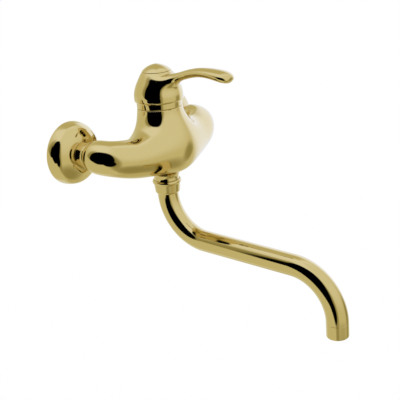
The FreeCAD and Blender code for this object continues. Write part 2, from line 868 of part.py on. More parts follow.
def fixed_disc():
    """The lower ceramic disc, with the same three ports."""
    blank = cylinder("fixed_disc_blank", size.fixed_disc_radius, size.fixed_disc_thickness,
                     (ZERO, AXIS_Y, fixed_disc_bottom))
    return cut("fixed_disc_bored", blank, port_tools("fixed_disc_port", 0, fixed_disc_bottom,
                                                     size.fixed_disc_thickness))


def moving_disc():
    """The upper ceramic disc, with the mixing cavity below and a notch at each side."""
    blank = cylinder("moving_disc_blank", size.moving_disc_radius, size.moving_disc_thickness,
                     (ZERO, MOVING_AXIS_Y, moving_disc_bottom))
    cavity_y = AXIS_Y - size.mixing_cavity_front + size.mixing_cavity_length / 2
    cavity = block("mixing_cavity", size.mixing_cavity_width, size.mixing_cavity_length,
                   size.mixing_cavity_depth, (ZERO, cavity_y, moving_disc_bottom))
    return cut("moving_disc_cut", blank, [cavity] + side_lugs("notch", size.seat_gap))


def side_lugs(name, margin):
    """Blocks at the two sides of the driver, below its underside, enlarged by a margin."""
    reach = size.moving_disc_radius - size.driver_lug_depth / 2
    height = size.driver_lug_height + margin
    lugs = []
    for side, sign in SIDES.items():
        place = (reach * sign, MOVING_AXIS_Y, driver_bottom - height)
        lugs.append(block(side + "_" + name, size.driver_lug_depth + margin * 2,
                          size.driver_lug_width + margin * 2, height, place))
    return lugs


def keys(name, margin, length, centre_y):
    """Two straight keys under the rotor that guide the driver, enlarged by a margin."""
    bottom = driver_top - size.key_depth
    high = size.key_depth + size.slide_gap
    bars = []
    for side, sign in SIDES.items():
        place = (size.key_side * sign, centre_y, bottom - margin)
        bars.append(block(side + "_" + name, size.key_width + margin * 2, length, high + margin, place))
    return bars


def disc_driver():
    """The plastic driver on the moving disc, with a socket for the stem's ball."""
    plate = cylinder("driver_plate", size.moving_disc_radius, size.driver_thickness,
                     (ZERO, MOVING_AXIS_Y, driver_bottom))
    blank = joined("driver_blank", [plate] + side_lugs("lug", 0))
    socket_bottom = driver_bottom + size.driver_socket_floor
    socket_depth = size.driver_thickness - size.driver_socket_floor
    socket = cylinder("driver_socket", size.stem_ball_radius + size.socket_gap, socket_depth,
                      (ZERO, AXIS_Y, socket_bottom))
    grooves = keys("groove", size.running_gap, size.moving_disc_radius * 2, MOVING_AXIS_Y)
    return cut("driver_cut", blank, [socket] + grooves)


def pin_bar(name, radius, length):
    """A round bar along X through the lever's pivot."""
    along_x = FreeCAD.Rotation(FreeCAD.Vector(0, 1, 0), 90)
    return cylinder(name, radius, length, (-length / 2, AXIS_Y, pivot_height), along_x)


def rotor():
    """The plastic rotor that turns in the housing and carries the lever's pivot pin."""
    corners = [
        (ZERO, rotor_bottom),
        (size.rotor_flange_radius, rotor_bottom),
        (size.rotor_flange_radius, rotor_flange_top),
        (size.rotor_neck_radius, rotor_flange_top),
        (size.rotor_neck_radius, rotor_top),
        (ZERO, rotor_top),
    ]
    blank = joined("rotor_blank", [put(turned("rotor_turned", corners), TOWER)]
                   + keys("key", 0, size.key_length, AXIS_Y))
    slot_width = size.stem_width + size.rotor_cheek_gap * 2
    slot_length = size.rotor_slot_front + size.rotor_slot_back
    slot_y = AXIS_Y + (size.rotor_slot_back - size.rotor_slot_front) / 2
    slot = block("rotor_slot", slot_width, slot_length, rotor_top - rotor_bottom,
                 (ZERO, slot_y, rotor_bottom))
    bore = pin_bar("rotor_pin_bore", size.pin_radius + size.running_gap, size.rotor_neck_radius * 2)
    return cut("rotor_cut", blank, [slot, bore])


def stem():
    """The metal stem: a ball below the pivot and a square bar up to the lever."""
    knob = ball("stem_ball", size.stem_ball_radius, (ZERO, AXIS_Y, ball_height))
    neck_length = stem_square_bottom - ball_height
    neck = cylinder("stem_neck", size.stem_neck_radius, neck_length, (ZERO, AXIS_Y, ball_height))
    bar = block("stem_bar", size.stem_width, size.stem_width, stem_top - stem_square_bottom,
                (ZERO, AXIS_Y, stem_square_bottom))
    hole = cylinder("stem_screw_hole", size.screw_radius + size.running_gap, size.stem_screw_depth,
                    (ZERO, AXIS_Y, stem_top - size.stem_screw_depth))
    bore = pin_bar("stem_pin_bore", size.pin_radius + size.running_gap, size.stem_width * 2)
    return cut("stem_cut", joined("stem_blank", [knob, neck, bar]), [hole, bore])


def housing():
    """The plastic shell of the cartridge, open below and bored for the rotor."""
    bore = size.rotor_neck_radius + size.running_gap
    shell_bottom = base_bottom + size.base_lift
    corners = [
        (housing_inner_radius, shell_bottom),
        (size.cartridge_radius, shell_bottom),
        (size.cartridge_radius, housing_shoulder),
        (size.housing_neck_radius, housing_shoulder),
        (size.housing_neck_radius, housing_top),
        (bore, housing_top),
        (bore, housing_shoulder - size.cartridge_wall),
        (housing_inner_radius, housing_shoulder - size.cartridge_wall),
    ]
    return put(turned("housing_shell", corners), TOWER)


keep(port_seals("lower_seals", seat_height, size.port_seal_height), "base_port_seals")
keep(cartridge_base(), "cartridge_base")
keep(port_seals("upper_seals", fixed_disc_bottom - size.disc_seal_height, size.disc_seal_height),
     "disc_port_seals")
keep(fixed_disc(), "fixed_disc")
keep(moving_disc(), "moving_disc")
keep(disc_driver(), "disc_driver")
keep(rotor(), "cartridge_rotor")
keep(pin_bar("pivot_bar", size.pin_radius, size.pin_length), "pivot_pin")
keep(stem(), "cartridge_stem")
keep(housing(), "cartridge_housing")


# The nut that holds the cartridge, and the domed ring that covers it

collar_top = size.tower_height + size.nut_collar_height
cover_inner_radius = size.tower_radius - size.ring_wall
nut_cord_ring_radius = cover_inner_radius - size.running_gap - size.ring_cord_radius


def groove_corners(outer, ring_radius, cord_radius, height):
    """Four corners of a groove for an O-ring, cut into a face at the outer radius."""
    floor = ring_radius - cord_radius - size.groove_gap
    half = cord_radius + size.groove_gap
    return [(outer, height - half), (floor, height - half), (floor, height + half), (outer, height + half)]


def retaining_nut():
    """The brass nut with a hexagon, screwed into the tower over the cartridge."""
    bore = size.housing_neck_radius + size.nut_bore_gap
    thread = size.nut_thread_radius - size.seat_gap
    collar = size.nut_collar_radius
    groove_height = size.tower_height + size.nut_collar_height / 2
    corners = [(bore, housing_shoulder), (thread, housing_shoulder), (thread, size.tower_height),
               (collar, size.tower_height)]
    corners += groove_corners(collar, nut_cord_ring_radius, size.ring_cord_radius, groove_height)
    corners += [(collar, collar_top), (bore, collar_top)]
    screw_part = put(turned("nut_turned", corners), TOWER)
    hexagon_height = size.nut_hexagon_height
    hexagon = prism("nut_hexagon_bar", 6, size.nut_hexagon, hexagon_height, (ZERO, AXIS_Y, collar_top))
    hexagon_bore = cylinder("nut_hexagon_bore", bore, hexagon_height, (ZERO, AXIS_Y, collar_top))
    return joined("nut_whole", [screw_part, cut("nut_hexagon_cut", hexagon, [hexagon_bore])])


def cover_ring():
    """The bright ring that carries the tower's line up into the cap."""
    lip_radius = size.ring_top_radius - size.ring_lip
    lip_bottom = ring_top - size.ring_lip
    corners = [
        (cover_inner_radius, size.tower_height),
        (size.tower_radius, size.tower_height),
        (size.tower_radius, ring_shoulder),
        (size.ring_top_radius, ring_top),
        (lip_radius, ring_top),
        (lip_radius, lip_bottom),
        (cover_inner_radius - size.ring_lip, lip_bottom),
        (cover_inner_radius, ring_shoulder),
    ]
    arcs = {2: (size.ring_dome_radius, ring_dome_height)}
    return put(turned("cover_ring_turned", corners, arcs), TOWER)


nut_cord_height = size.tower_height + size.nut_collar_height / 2
keep(retaining_nut(), "retaining_nut")
keep(cord_ring("nut_cord", nut_cord_ring_radius, size.ring_cord_radius, nut_cord_height), "nut_o_ring")
keep(cover_ring(), "cover_ring")


# Lever: a cap with a hub, a blade, a plastic sleeve, a screw and a button

sleeve_bore = size.stem_width + size.running_gap * 2
sleeve_width = sleeve_bore + size.sleeve_wall * 2
socket_width = sleeve_width + size.running_gap * 2
button_ring_radius = size.recess_radius - size.button_cord_radius - size.running_gap
button_ring_height = cap_top - size.button_spigot / 2


TIP_SHARES = [0.0, 0.5, 0.8, 0.97]


def blade():
    """The blade as a loft of ovals along its own curve, rounded off at the tip."""
    depth = size.axis_depth + size.blade_root_reach
    height = cap_shoulder_height + size.blade_root_lift
    rises = [(depth, height, size.blade_root_width, size.blade_root_thickness)]
    for step, lift, wide, thick in (
        (size.blade_fan_step, size.blade_fan_lift, size.blade_fan_width, size.blade_fan_thickness),
        (size.blade_neck_step, size.blade_neck_lift, size.blade_neck_width, size.blade_neck_thickness),
        (size.blade_rise_step, size.blade_rise_lift, size.blade_rise_width, size.blade_rise_thickness),
        (size.blade_crown_step, size.blade_crown_lift, size.blade_crown_width, size.blade_crown_thickness),
        (size.blade_paddle_step, size.blade_paddle_lift, size.blade_paddle_width,
         size.blade_paddle_thickness),
    ):
        depth = depth + step
        height = height + lift
        rises.append((depth, height, wide, thick))
    straight = 1 - size.blade_tip_round / size.blade_tip_step
    for share in TIP_SHARES:
        along = straight + (1 - straight) * share
        shrink = math.sqrt(1 - share * share)
        rises.append((depth + size.blade_tip_step * along, height + size.blade_tip_lift * along,
                      wide * shrink, thick * shrink))
    path = [vector(0, -depth, height) for depth, height, wide, thick in rises]
    ovals = []
    for index, (depth, height, wide, thick) in enumerate(rises):
        name = "blade_section_" + str(index + 1)
        ovals.append(section(name, wide, thick, (ZERO, -depth, height), across(path, index)))
    return loft("blade_loft", ovals)


def lever_handle():
    """The cap and blade in one piece, hollow round its hub."""
    rim_height = cap_bottom + size.cap_rim_rise
    outer = [
        (ZERO, cap_bottom),
        (size.cap_rim_radius, cap_bottom),
        (size.cap_radius, rim_height),
        (size.cap_radius, cap_straight_top),
        (size.cap_shoulder_radius, cap_shoulder_height),
        (size.button_radius, cap_top),
        (ZERO, cap_top),
    ]
    arcs = {3: (size.cap_side_radius, cap_side_height), 4: (size.cap_upper_radius, cap_upper_height)}
    cap = put(turned("cap_solid", outer, arcs), TOWER)
    skirt_inner = size.cap_radius - size.cap_skirt_wall
    hollow = [
        (ZERO, cap_bottom),
        (skirt_inner, cap_bottom),
        (skirt_inner, cap_cavity_straight_top),
        (size.cap_cavity_radius, cap_ceiling),
        (size.hub_radius, cap_ceiling),
        (size.hub_radius, hub_bottom),
        (ZERO, hub_bottom),
    ]
    hollow_arcs = {2: (size.cap_cavity_side_radius, cap_cavity_side_height)}
    cavity = put(turned("cap_hollow", hollow, hollow_arcs), TOWER)
    socket = block("lever_socket", socket_width, socket_width, socket_top - hub_bottom,
                   (ZERO, AXIS_Y, hub_bottom))
    screw_hole = cylinder("lever_screw_hole", size.screw_radius + size.slide_gap,
                          recess_floor - socket_top, (ZERO, AXIS_Y, socket_top))
    recess = cylinder("lever_recess", size.recess_radius, cap_top - recess_floor,
                      (ZERO, AXIS_Y, recess_floor))
    return cut("lever_hollowed", joined("lever_blank", [cap, blade()]), [cavity, socket, screw_hole, recess])


def stem_sleeve():
    """The thin square sleeve between the stem and the hub."""
    height = stem_top - hub_bottom
    place = (ZERO, AXIS_Y, hub_bottom)
    tube = block("sleeve_tube", sleeve_width, sleeve_width, height, place)
    return cut("sleeve_cut", tube, [block("sleeve_bore", sleeve_bore, sleeve_bore, height, place)])


def handle_screw():
    """The cap screw that holds the lever down on the stem."""
    shank = cylinder("screw_shank", size.screw_radius, size.screw_length,
                     (ZERO, AXIS_Y, recess_floor - size.screw_length))
    head = cylinder("screw_head", size.screw_head_radius, size.screw_head_height,
                    (ZERO, AXIS_Y, recess_floor))
    key_bottom = recess_floor + size.screw_head_height - size.screw_key_depth
    key = prism("screw_key", 6, size.screw_key_radius, size.screw_key_depth, (ZERO, AXIS_Y, key_bottom))
    return cut("screw_cut", joined("screw_blank", [shank, head]), [key])


def dome_button():
    """The plain domed button that plugs the top of the cap."""
    spigot = size.recess_radius - size.slide_gap
    bottom = cap_top - size.button_spigot
    crown = cap_top + size.button_height
    rise = size.button_height - size.button_edge
    sphere = (size.button_radius * size.button_radius + rise * rise) / (rise * 2)
    half_radius = size.button_radius / 2
    half_drop = sphere.number - math.sqrt(sphere.number**2 - half_radius.number**2)
    corners = [(size.button_bore_radius, bottom), (spigot, bottom)]
    corners += groove_corners(spigot, button_ring_radius, size.button_cord_radius, button_ring_height)
    corners += [
        (spigot, cap_top),
        (size.button_radius - size.button_edge, cap_top),
        (size.button_radius, cap_top + size.button_edge),
        (ZERO, crown),
        (ZERO, cap_top),
        (size.button_bore_radius, cap_top),
    ]
    return put(turned("button_turned", corners, {8: (half_radius, crown - half_drop)}), TOWER)


keep(lever_handle(), "lever_handle")
keep(stem_sleeve(), "stem_sleeve")
keep(handle_screw(), "handle_screw")
keep(dome_button(), "dome_button")
keep(cord_ring("button_cord", button_ring_radius, size.button_cord_radius, button_ring_height),
     "button_o_ring")


# Spout nut and the rings that the spout turns between

nut_bore = size.outlet_thread_radius + size.seat_gap
FOOT_ROUND_SHARE = 0.6


def spout_nut():
    """The turned nut with a bead that holds the spout's collar against the casting."""
    bead_bottom = spout_nut_top - size.spout_nut_bead_height
    bead_middle = spout_nut_top - size.spout_nut_bead_height / 2
    foot = spout_nut_bottom + size.spout_nut_foot_rise
    lip_radius = size.tube_radius + size.slide_gap
    corners = [
        (nut_bore, spout_nut_top),
        (size.spout_nut_waist_radius, spout_nut_top),
        (size.spout_nut_waist_radius, bead_bottom),
        (size.spout_nut_foot_radius, foot),
        (size.spout_nut_end_radius, spout_nut_bottom),
        (lip_radius, spout_nut_bottom),
        (lip_radius, slip_ring_bottom),
        (nut_bore, slip_ring_bottom),
    ]
    foot_round = (size.spout_nut_foot_round_radius, foot - size.spout_nut_foot_rise * FOOT_ROUND_SHARE)
    arcs = {1: (size.spout_nut_bead_radius, bead_middle), 3: foot_round}
    return put(turned("spout_nut_turned", corners, arcs), TOWER)


ring_outer = nut_bore - size.slide_gap
keep(spout_nut(), "spout_nut")
keep(put(washer("slip_washer", size.tube_radius + size.seat_gap, ring_outer, slip_ring_bottom,
                collar_bottom - size.running_gap), TOWER), "spout_slip_ring")
keep(put(washer("thrust_washer", size.outlet_bore_radius + size.seat_gap, ring_outer,
                collar_high + size.running_gap, outlet_end_height), TOWER), "spout_thrust_ring")


# Spout: a tail with two O-rings, the S tube and the aerator

sleeve_radius = size.outlet_bore_radius - size.running_gap
spout_ring_first = tail_top - size.spout_ring_inset
spout_ring_second = spout_ring_first - size.spout_ring_pitch
spout_ring_radius = sleeve_radius - size.spout_cord_radius
tube_bore = size.tube_radius - size.tube_wall
BEND = math.radians(SIZES["bend_angle"])
first_centre_y = AXIS_Y - size.first_bend_radius
first_end_y = first_centre_y + size.first_bend_radius * math.cos(BEND)
first_end_z = tube_bend_top - size.first_bend_radius * math.sin(BEND)
run_end_y = first_end_y - size.tube_run * math.sin(BEND)
run_end_z = first_end_z - size.tube_run * math.cos(BEND)
second_centre_y = run_end_y + size.second_bend_radius * math.cos(BEND)
second_centre_z = run_end_z - size.second_bend_radius * math.sin(BEND)
outlet_y = second_centre_y - size.second_bend_radius
tube_end_z = second_centre_z - size.outlet_run
OUTLET = (ZERO, outlet_y, tube_end_z)


def spout_tail():
    """The brass tail that turns in the casting's outlet and enters the tube."""
    sleeve_bottom = collar_high
    spigot = tube_bore - size.running_gap
    spigot_end = collar_bottom - size.tail_spigot_length
    corners = [(size.tail_sleeve_bore, tail_top), (size.tail_sleeve_bore, spigot_end),
               (spigot, spigot_end), (spigot, collar_bottom), (ring_outer, collar_bottom),
               (ring_outer, collar_high), (sleeve_radius, sleeve_bottom)]
    for height in (spout_ring_second, spout_ring_first):
        corners += groove_corners(sleeve_radius, spout_ring_radius, size.spout_cord_radius, height)
    corners.append((sleeve_radius, tail_top))
    return put(turned("tail_turned", corners), TOWER)


def bend(name, tube, radius, centre, start_direction):
    """A quarter-like bend of a round bar in the plane x = 0, from one level radius towards the other."""
    ring = document.addObject("Part::Torus", name)
    ring.setExpression("Radius1", as_length(radius).formula)
    ring.setExpression("Radius2", as_length(tube).formula)
    ring.setExpression("Angle3", "Sizes.bend_angle")
    level = FreeCAD.Vector(0, start_direction, 0)
    upright_axis = FreeCAD.Vector(0, 0, -start_direction)
    turn = FreeCAD.Rotation(level, upright_axis, level.cross(upright_axis), "XYZ")
    return put(ring, (ZERO,) + centre, turn)


def s_bar(name, radius):
    """The whole S shape as a solid round bar."""
    first = bend(name + "_first_bend", radius, size.first_bend_radius, (first_centre_y, tube_bend_top), 1)
    second = bend(name + "_second_bend", radius, size.second_bend_radius,
                  (second_centre_y, second_centre_z), -1)
    top = cylinder(name + "_top", radius, collar_bottom - tube_bend_top, (ZERO, AXIS_Y, tube_bend_top))
    run = rod(name + "_run", radius, vector(0, first_end_y, first_end_z), vector(0, run_end_y, run_end_z))
    end = cylinder(name + "_end", radius, size.outlet_run, OUTLET)
    return joined(name, [top, first, run, second, end])


keep(spout_tail(), "spout_tail")
keep(cut("tube_bored", s_bar("tube_solid", size.tube_radius), [s_bar("tube_hollow", tube_bore)]),
     "spout_tube")
keep(group("spout_cords", [
    cord_ring("upper_spout_cord", spout_ring_radius, size.spout_cord_radius, spout_ring_first),
    cord_ring("lower_spout_cord", spout_ring_radius, size.spout_cord_radius, spout_ring_second),
]), "spout_o_rings")


# Aerator at the outlet, its pieces stacked on the housing's inner lip

aerator_lip_top = size.aerator_lip - size.aerator_height
insert_top = aerator_lip_top + size.aerator_insert_height
screen_top = insert_top + size.screen_thickness
insert_radius = size.aerator_bore_radius - size.seat_gap
MOUTH_SHARE = 1 - math.sqrt(0.5)
HOLE_RINGS = 2


def aerator_housing():
    """The screwed shell of the aerator, flush with the tube."""
    edge = size.aerator_edge
    outer = size.tube_radius
    bottom = -size.aerator_height
    mouth = size.aerator_mouth_round
    corners = [
        (size.aerator_bore_radius, size.aerator_thread_length),
        (size.aerator_bore_radius, aerator_lip_top),
        (size.aerator_lip_radius, aerator_lip_top),
        (size.aerator_lip_radius, bottom),
        (outer - mouth, bottom),
        (outer, bottom + mouth),
        (outer, -edge),
        (outer - edge, ZERO),
        (size.aerator_thread_radius, ZERO),
        (size.aerator_thread_radius, size.aerator_thread_length),
    ]
    arcs = {4: (outer - mouth * MOUTH_SHARE, bottom + mouth * MOUTH_SHARE)}
    return put(turned("aerator_shell", corners, arcs), OUTLET)


def perforated(name, height, bottom, hole_radius):
    """A round plate with a honeycomb pattern of holes."""
    plate = cylinder(name + "_plate", insert_radius, height, (ZERO, outlet_y, tube_end_z + bottom))
    pitch = size.aerator_hole_pitch
    tools = []
    for row in range(-HOLE_RINGS, HOLE_RINGS + 1):
        for column in range(-HOLE_RINGS, HOLE_RINGS + 1):
            if abs(row + column) > HOLE_RINGS:
                continue
            x = pitch * (column + row / 2)
            y = outlet_y + pitch * (row * math.sqrt(0.75))
            tools.append(cylinder(name + "_hole_" + str(len(tools) + 1), hole_radius, height,
                                  (x, y, tube_end_z + bottom)))
    return cut(name, plate, tools)


keep(aerator_housing(), "aerator_housing")
keep(perforated("aerator_core", size.aerator_insert_height, aerator_lip_top, size.aerator_hole_radius),
     "aerator_insert")
keep(perforated("screen_plate", size.screen_thickness, insert_top, size.screen_hole_radius),
     "aerator_screen")
keep(put(washer("aerator_seal", insert_radius - size.aerator_washer_wall, insert_radius, screen_top,
                screen_top + size.aerator_washer_thickness), OUTLET), "aerator_washer")


def check_and_write():
    """Stop on any failed object, then write one STEP file for each piece."""
    document.recompute()
    for item in document.Objects:
        if "Invalid" in item.State or "Error" in item.State:
            raise RuntimeError(item.Label + " failed: " + str(item.State))
    os.makedirs("parts", exist_ok=True)
    for item in pieces:
        if item.Shape.isNull() or not item.Shape.isValid():
            raise RuntimeError(item.Label + " has no valid shape")
        item.Shape.exportStep("parts/" + item.Label + ".step")
        print(item.Label, "solids", len(item.Shape.Solids), "volume", round(item.Shape.Volume, 1))


check_and_write()
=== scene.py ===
import itertools
import json
import logging
import math
from collections.abc import Callable
from dataclasses import dataclass, field, replace
from enum import Enum

import bmesh
import bpy
from mathutils import Matrix, Vector


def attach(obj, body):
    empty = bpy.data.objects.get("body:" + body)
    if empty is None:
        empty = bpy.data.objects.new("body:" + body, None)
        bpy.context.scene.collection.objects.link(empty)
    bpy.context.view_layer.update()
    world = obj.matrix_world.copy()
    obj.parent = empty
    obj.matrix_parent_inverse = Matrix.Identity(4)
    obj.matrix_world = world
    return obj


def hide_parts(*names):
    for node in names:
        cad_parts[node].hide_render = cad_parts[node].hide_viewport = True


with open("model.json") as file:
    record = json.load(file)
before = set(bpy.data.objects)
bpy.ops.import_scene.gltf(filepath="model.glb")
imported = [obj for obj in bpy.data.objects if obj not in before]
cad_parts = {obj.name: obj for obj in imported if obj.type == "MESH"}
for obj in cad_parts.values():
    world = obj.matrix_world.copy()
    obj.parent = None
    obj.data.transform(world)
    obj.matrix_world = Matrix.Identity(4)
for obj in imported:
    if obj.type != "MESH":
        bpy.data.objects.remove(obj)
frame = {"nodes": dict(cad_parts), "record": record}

# A wall-mounted basin mixer: its visible pieces, their finishes and the studio round it
log = logging.getLogger("basin_mixer")
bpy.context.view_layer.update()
MM = 0.001

# Places shared by several pieces, the same as in the CAD source, in metres unless their name says mm
INLET_X = 75.0 * MM
AXIS_Y_MM = -60.0
AXIS = Vector((0.0, AXIS_Y_MM * MM, 0.0))

RIGHT = Vector((1, 0, 0))
UP = Vector((0, 0, 1))
FRONT = Vector((0, -1, 0))

# The smooth skin of a cage whose rings have 8 corners lies at this share of their radius
RING_CORNERS = 8
SKIN_SHARE = 0.9018
SKIN_LEVELS = 4
# Corners nearer than this are one corner, and a corner this near a ring's plane is on it
WELD_GAP = 0.002 * MM
PLANE_GAP = 0.02 * MM
# How much further than a ring's radius its own corners may lie
RING_SLACK = 1.01
# Edges sharper than this stay sharp, in radians
SHARP_ANGLE = math.radians(35)

# The photograph's width, and the width of Blender's camera sensor
PHOTO_PIXELS = 400
SENSOR_MM = 36
DEGREES_IN_RADIAN = math.degrees(1)

# Nearly all of a noise pattern's values lie between these two
NOISE_LOW = 0.3
NOISE_HIGH = 0.7
CLOUD_DETAIL = 3.0
GRAIN_DETAIL = 6.0

Outline = list[tuple[float, float]]
PlaceTest = Callable[[Vector], bool]


class Slot(Enum):
    """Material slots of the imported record."""

    GOLD = "polished_gold"
    BRASS = "plain_brass"
    ACETAL = "acetal"
    CERAMIC = "ceramic"
    RUBBER = "seal_rubber"
    FIBRE = "fibre"
    STEEL = "stainless"


class Body(Enum):
    """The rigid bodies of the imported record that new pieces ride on."""

    CASTING = "body"
    LEVER = "lever"
    SPOUT = "spout"


def linear(hex_colour: str) -> tuple[float, float, float, float]:
    """Turn an sRGB hex colour into the linear colour that shaders read.

    Args:
        hex_colour: Six hex digits, without a leading sign.

    Returns:
        Red, green, blue and alpha, from 0 to 1.
    """
    channels = [int(hex_colour[i:i + 2], 16) / 255 for i in (0, 2, 4)]
    parts = [c / 12.92 if c <= 0.04045 else ((c + 0.055) / 1.055) ** 2.4 for c in channels]
    return (parts[0], parts[1], parts[2], 1.0)


def add_node(tree: bpy.types.NodeTree, kind: str, settings: dict | None = None,
             values: dict | None = None, links: dict | None = None) -> bpy.types.Node:
    """Add one node with its settings, socket values and incoming links.

    Args:
        tree: The node tree that gets the node.
        kind: Blender's name for the node type.
        settings: Properties of the node itself.
        values: Constant values of its input sockets.
        links: Output sockets that feed its input sockets.

    Returns:
        The new node.
    """
    node = tree.nodes.new(kind)
    for name, value in (settings or {}).items():
        setattr(node, name, value)
    for name, value in (values or {}).items():
        node.inputs[name].default_value = value
    for name, source in (links or {}).items():
        tree.links.new(source, node.inputs[name])
    return node


def bare_material(name: str) -> bpy.types.Material:
    """Make a material with an empty node tree."""
    material = bpy.data.materials.new(name)
    material.use_nodes = True
    material.node_tree.nodes.clear()
    return material


@dataclass(frozen=True)
class Finish:
    """One real surface finish, made as a procedural material.

    A wide noise pattern in object space drifts between its colour and its
    shade. A fine one gives the grain that its making leaves, as a swing of
    the roughness and as relief.
    """

    name: str
    colour: str
    shade: str
    roughness: float
    roughness_swing: float
    metallic: float
    cloud_mm: float
    grain_mm: float
    relief_mm: float
    relief_share: float

    def build(self) -> bpy.types.Material:
        """Make the node material.

        Returns:
            A material that reads object coordinates only.
        """
        material = bare_material(self.name)
        tree = material.node_tree
        place = add_node(tree, "ShaderNodeTexCoord").outputs["Object"]
        cloud = add_node(tree, "ShaderNodeTexNoise",
                         values={"Scale": 1 / (self.cloud_mm * MM), "Detail": CLOUD_DETAIL},
                         links={"Vector": place})
        colour = add_node(tree, "ShaderNodeMix", {"data_type": "RGBA"},
                          links={"Factor": cloud.outputs["Fac"]})
        colour.inputs[6].default_value = linear(self.colour)
        colour.inputs[7].default_value = linear(self.shade)
        grain = add_node(tree, "ShaderNodeTexNoise",
                         values={"Scale": 1 / (self.grain_mm * MM), "Detail": GRAIN_DETAIL},
                         links={"Vector": place})
        rough = add_node(tree, "ShaderNodeMapRange",
                         values={"From Min": NOISE_LOW, "From Max": NOISE_HIGH, "To Min": self.roughness,
                                 "To Max": self.roughness + self.roughness_swing},
                         links={"Value": grain.outputs["Fac"]})
        bump = add_node(tree, "ShaderNodeBump", values={"Strength": self.relief_share,
                                                        "Distance": self.relief_mm * MM},
                        links={"Height": grain.outputs["Fac"]})
        shader = add_node(tree, "ShaderNodeBsdfPrincipled",
                          values={"Metallic": self.metallic},
                          links={"Base Color": colour.outputs[2], "Roughness": rough.outputs["Result"],
                                 "Normal": bump.outputs["Normal"]})
        add_node(tree, "ShaderNodeOutputMaterial", links={"Surface": shader.outputs["BSDF"]})
        return material


# Each grain is drawn some times coarser than the real one, so that it shows at all in a render
FINISHES = {
    # Brass, polished to a mirror and plated: only a faint haze breaks the reflections
    Slot.GOLD: Finish("mirror_polished_gold_plating", colour="DFCC96", shade="DCC891", roughness=0.045,
                      roughness_swing=0.02, metallic=1.0, cloud_mm=60.0, grain_mm=0.5, relief_mm=0.01,
                      relief_share=0.02),
    # Brass straight off the lathe: yellower and duller, with fine turning marks
    Slot.BRASS: Finish("turned_brass", colour="C6A55C", shade="B5944C", roughness=0.24,
                       roughness_swing=0.12, metallic=1.0, cloud_mm=9.0, grain_mm=0.35, relief_mm=0.02,
                       relief_share=0.12),
    # Injection-moulded acetal: off-white, waxy and slightly mottled
    Slot.ACETAL: Finish("moulded_acetal", colour="E9E8DF", shade="DEDCD1", roughness=0.38,
                        roughness_swing=0.1, metallic=0.0, cloud_mm=14.0, grain_mm=0.6, relief_mm=0.02,
                        relief_share=0.1),
    # Lapped alumina: white, hard and glossy
    Slot.CERAMIC: Finish("lapped_alumina", colour="F1F0EA", shade="E8E6DE", roughness=0.1,
                         roughness_swing=0.06, metallic=0.0, cloud_mm=6.0, grain_mm=0.3, relief_mm=0.01,
                         relief_share=0.05),
    # Moulded nitrile rubber: black and dull
    Slot.RUBBER: Finish("moulded_nitrile_rubber", colour="17171A", shade="202023", roughness=0.55,
                        roughness_swing=0.15, metallic=0.0, cloud_mm=5.0, grain_mm=0.25, relief_mm=0.03,
                        relief_share=0.2),
    # Pressed gasket fibre: red-brown and dry
    Slot.FIBRE: Finish("pressed_gasket_fibre", colour="8A3A28", shade="6E2C1E", roughness=0.7,
                       roughness_swing=0.15, metallic=0.0, cloud_mm=3.0, grain_mm=0.2, relief_mm=0.05,
                       relief_share=0.4),
    # Drawn stainless steel: grey, with a fine satin grain
    Slot.STEEL: Finish("drawn_stainless_steel", colour="B9BABC", shade="A6A7AA", roughness=0.22,
                       roughness_swing=0.1, metallic=1.0, cloud_mm=7.0, grain_mm=0.2, relief_mm=0.01,
                       relief_share=0.1),
}


def select_piece(obj: bpy.types.Object) -> None:
    """Make one object the only selected one, and the active one.

    Args:
        obj: The object.
    """
    bpy.ops.object.select_all(action="DESELECT")
    bpy.context.view_layer.objects.active = obj
    obj.select_set(True)


def start_edit(obj: bpy.types.Object) -> None:
    """Open one object's mesh for editing by its corners, with nothing selected in it.

    Args:
        obj: The mesh object to edit.
    """
    select_piece(obj)
    bpy.ops.object.mode_set(mode="EDIT")
    bpy.ops.mesh.select_mode(type="VERT")
    bpy.ops.mesh.select_all(action="DESELECT")


def end_edit() -> None:
    """Turn the faces of the mesh that is being edited outwards, and close it."""
    bpy.ops.mesh.select_all(action="SELECT")
    bpy.ops.mesh.normals_make_consistent(inside=False)
    bpy.ops.object.mode_set(mode="OBJECT")


def weld_all() -> None:
    """Join the doubled corners of the mesh that is being edited."""
    bpy.ops.mesh.select_all(action="SELECT")
    bpy.ops.mesh.remove_doubles(threshold=WELD_GAP)


def name_piece(name: str) -> bpy.types.Object:
    """Name the active object and its mesh, and put its place into the mesh.

    Args:
        name: The piece's name.

    Returns:
        The object.
    """
    obj = bpy.context.view_layer.objects.active
    obj.name = name
    obj.data.name = name
    select_piece(obj)
    bpy.ops.object.transform_apply(location=True, rotation=True, scale=True)
    return obj


def smooth(obj: bpy.types.Object) -> None:
    """Shade a piece smooth, apart from its sharp edges."""
    select_piece(obj)
    bpy.ops.object.shade_smooth_by_angle(angle=SHARP_ANGLE)


def apply_modifier(obj: bpy.types.Object, kind: str, **settings: float | int | bool | str) -> None:
    """Add one modifier and apply it.

    Args:
        obj: The piece that gets it.
        kind: Blender's name for the modifier type.
        settings: Its properties.
    """
    select_piece(obj)
    modifier = obj.modifiers.new(kind.title(), kind)
    for name, value in settings.items():
        setattr(modifier, name, value)
    bpy.ops.object.modifier_apply(modifier=modifier.name)


def smooth_skin(obj: bpy.types.Object) -> None:
    """Turn a cage into its smooth skin."""
    apply_modifier(obj, "SUBSURF", levels=SKIN_LEVELS, render_levels=SKIN_LEVELS, boundary_smooth="ALL")


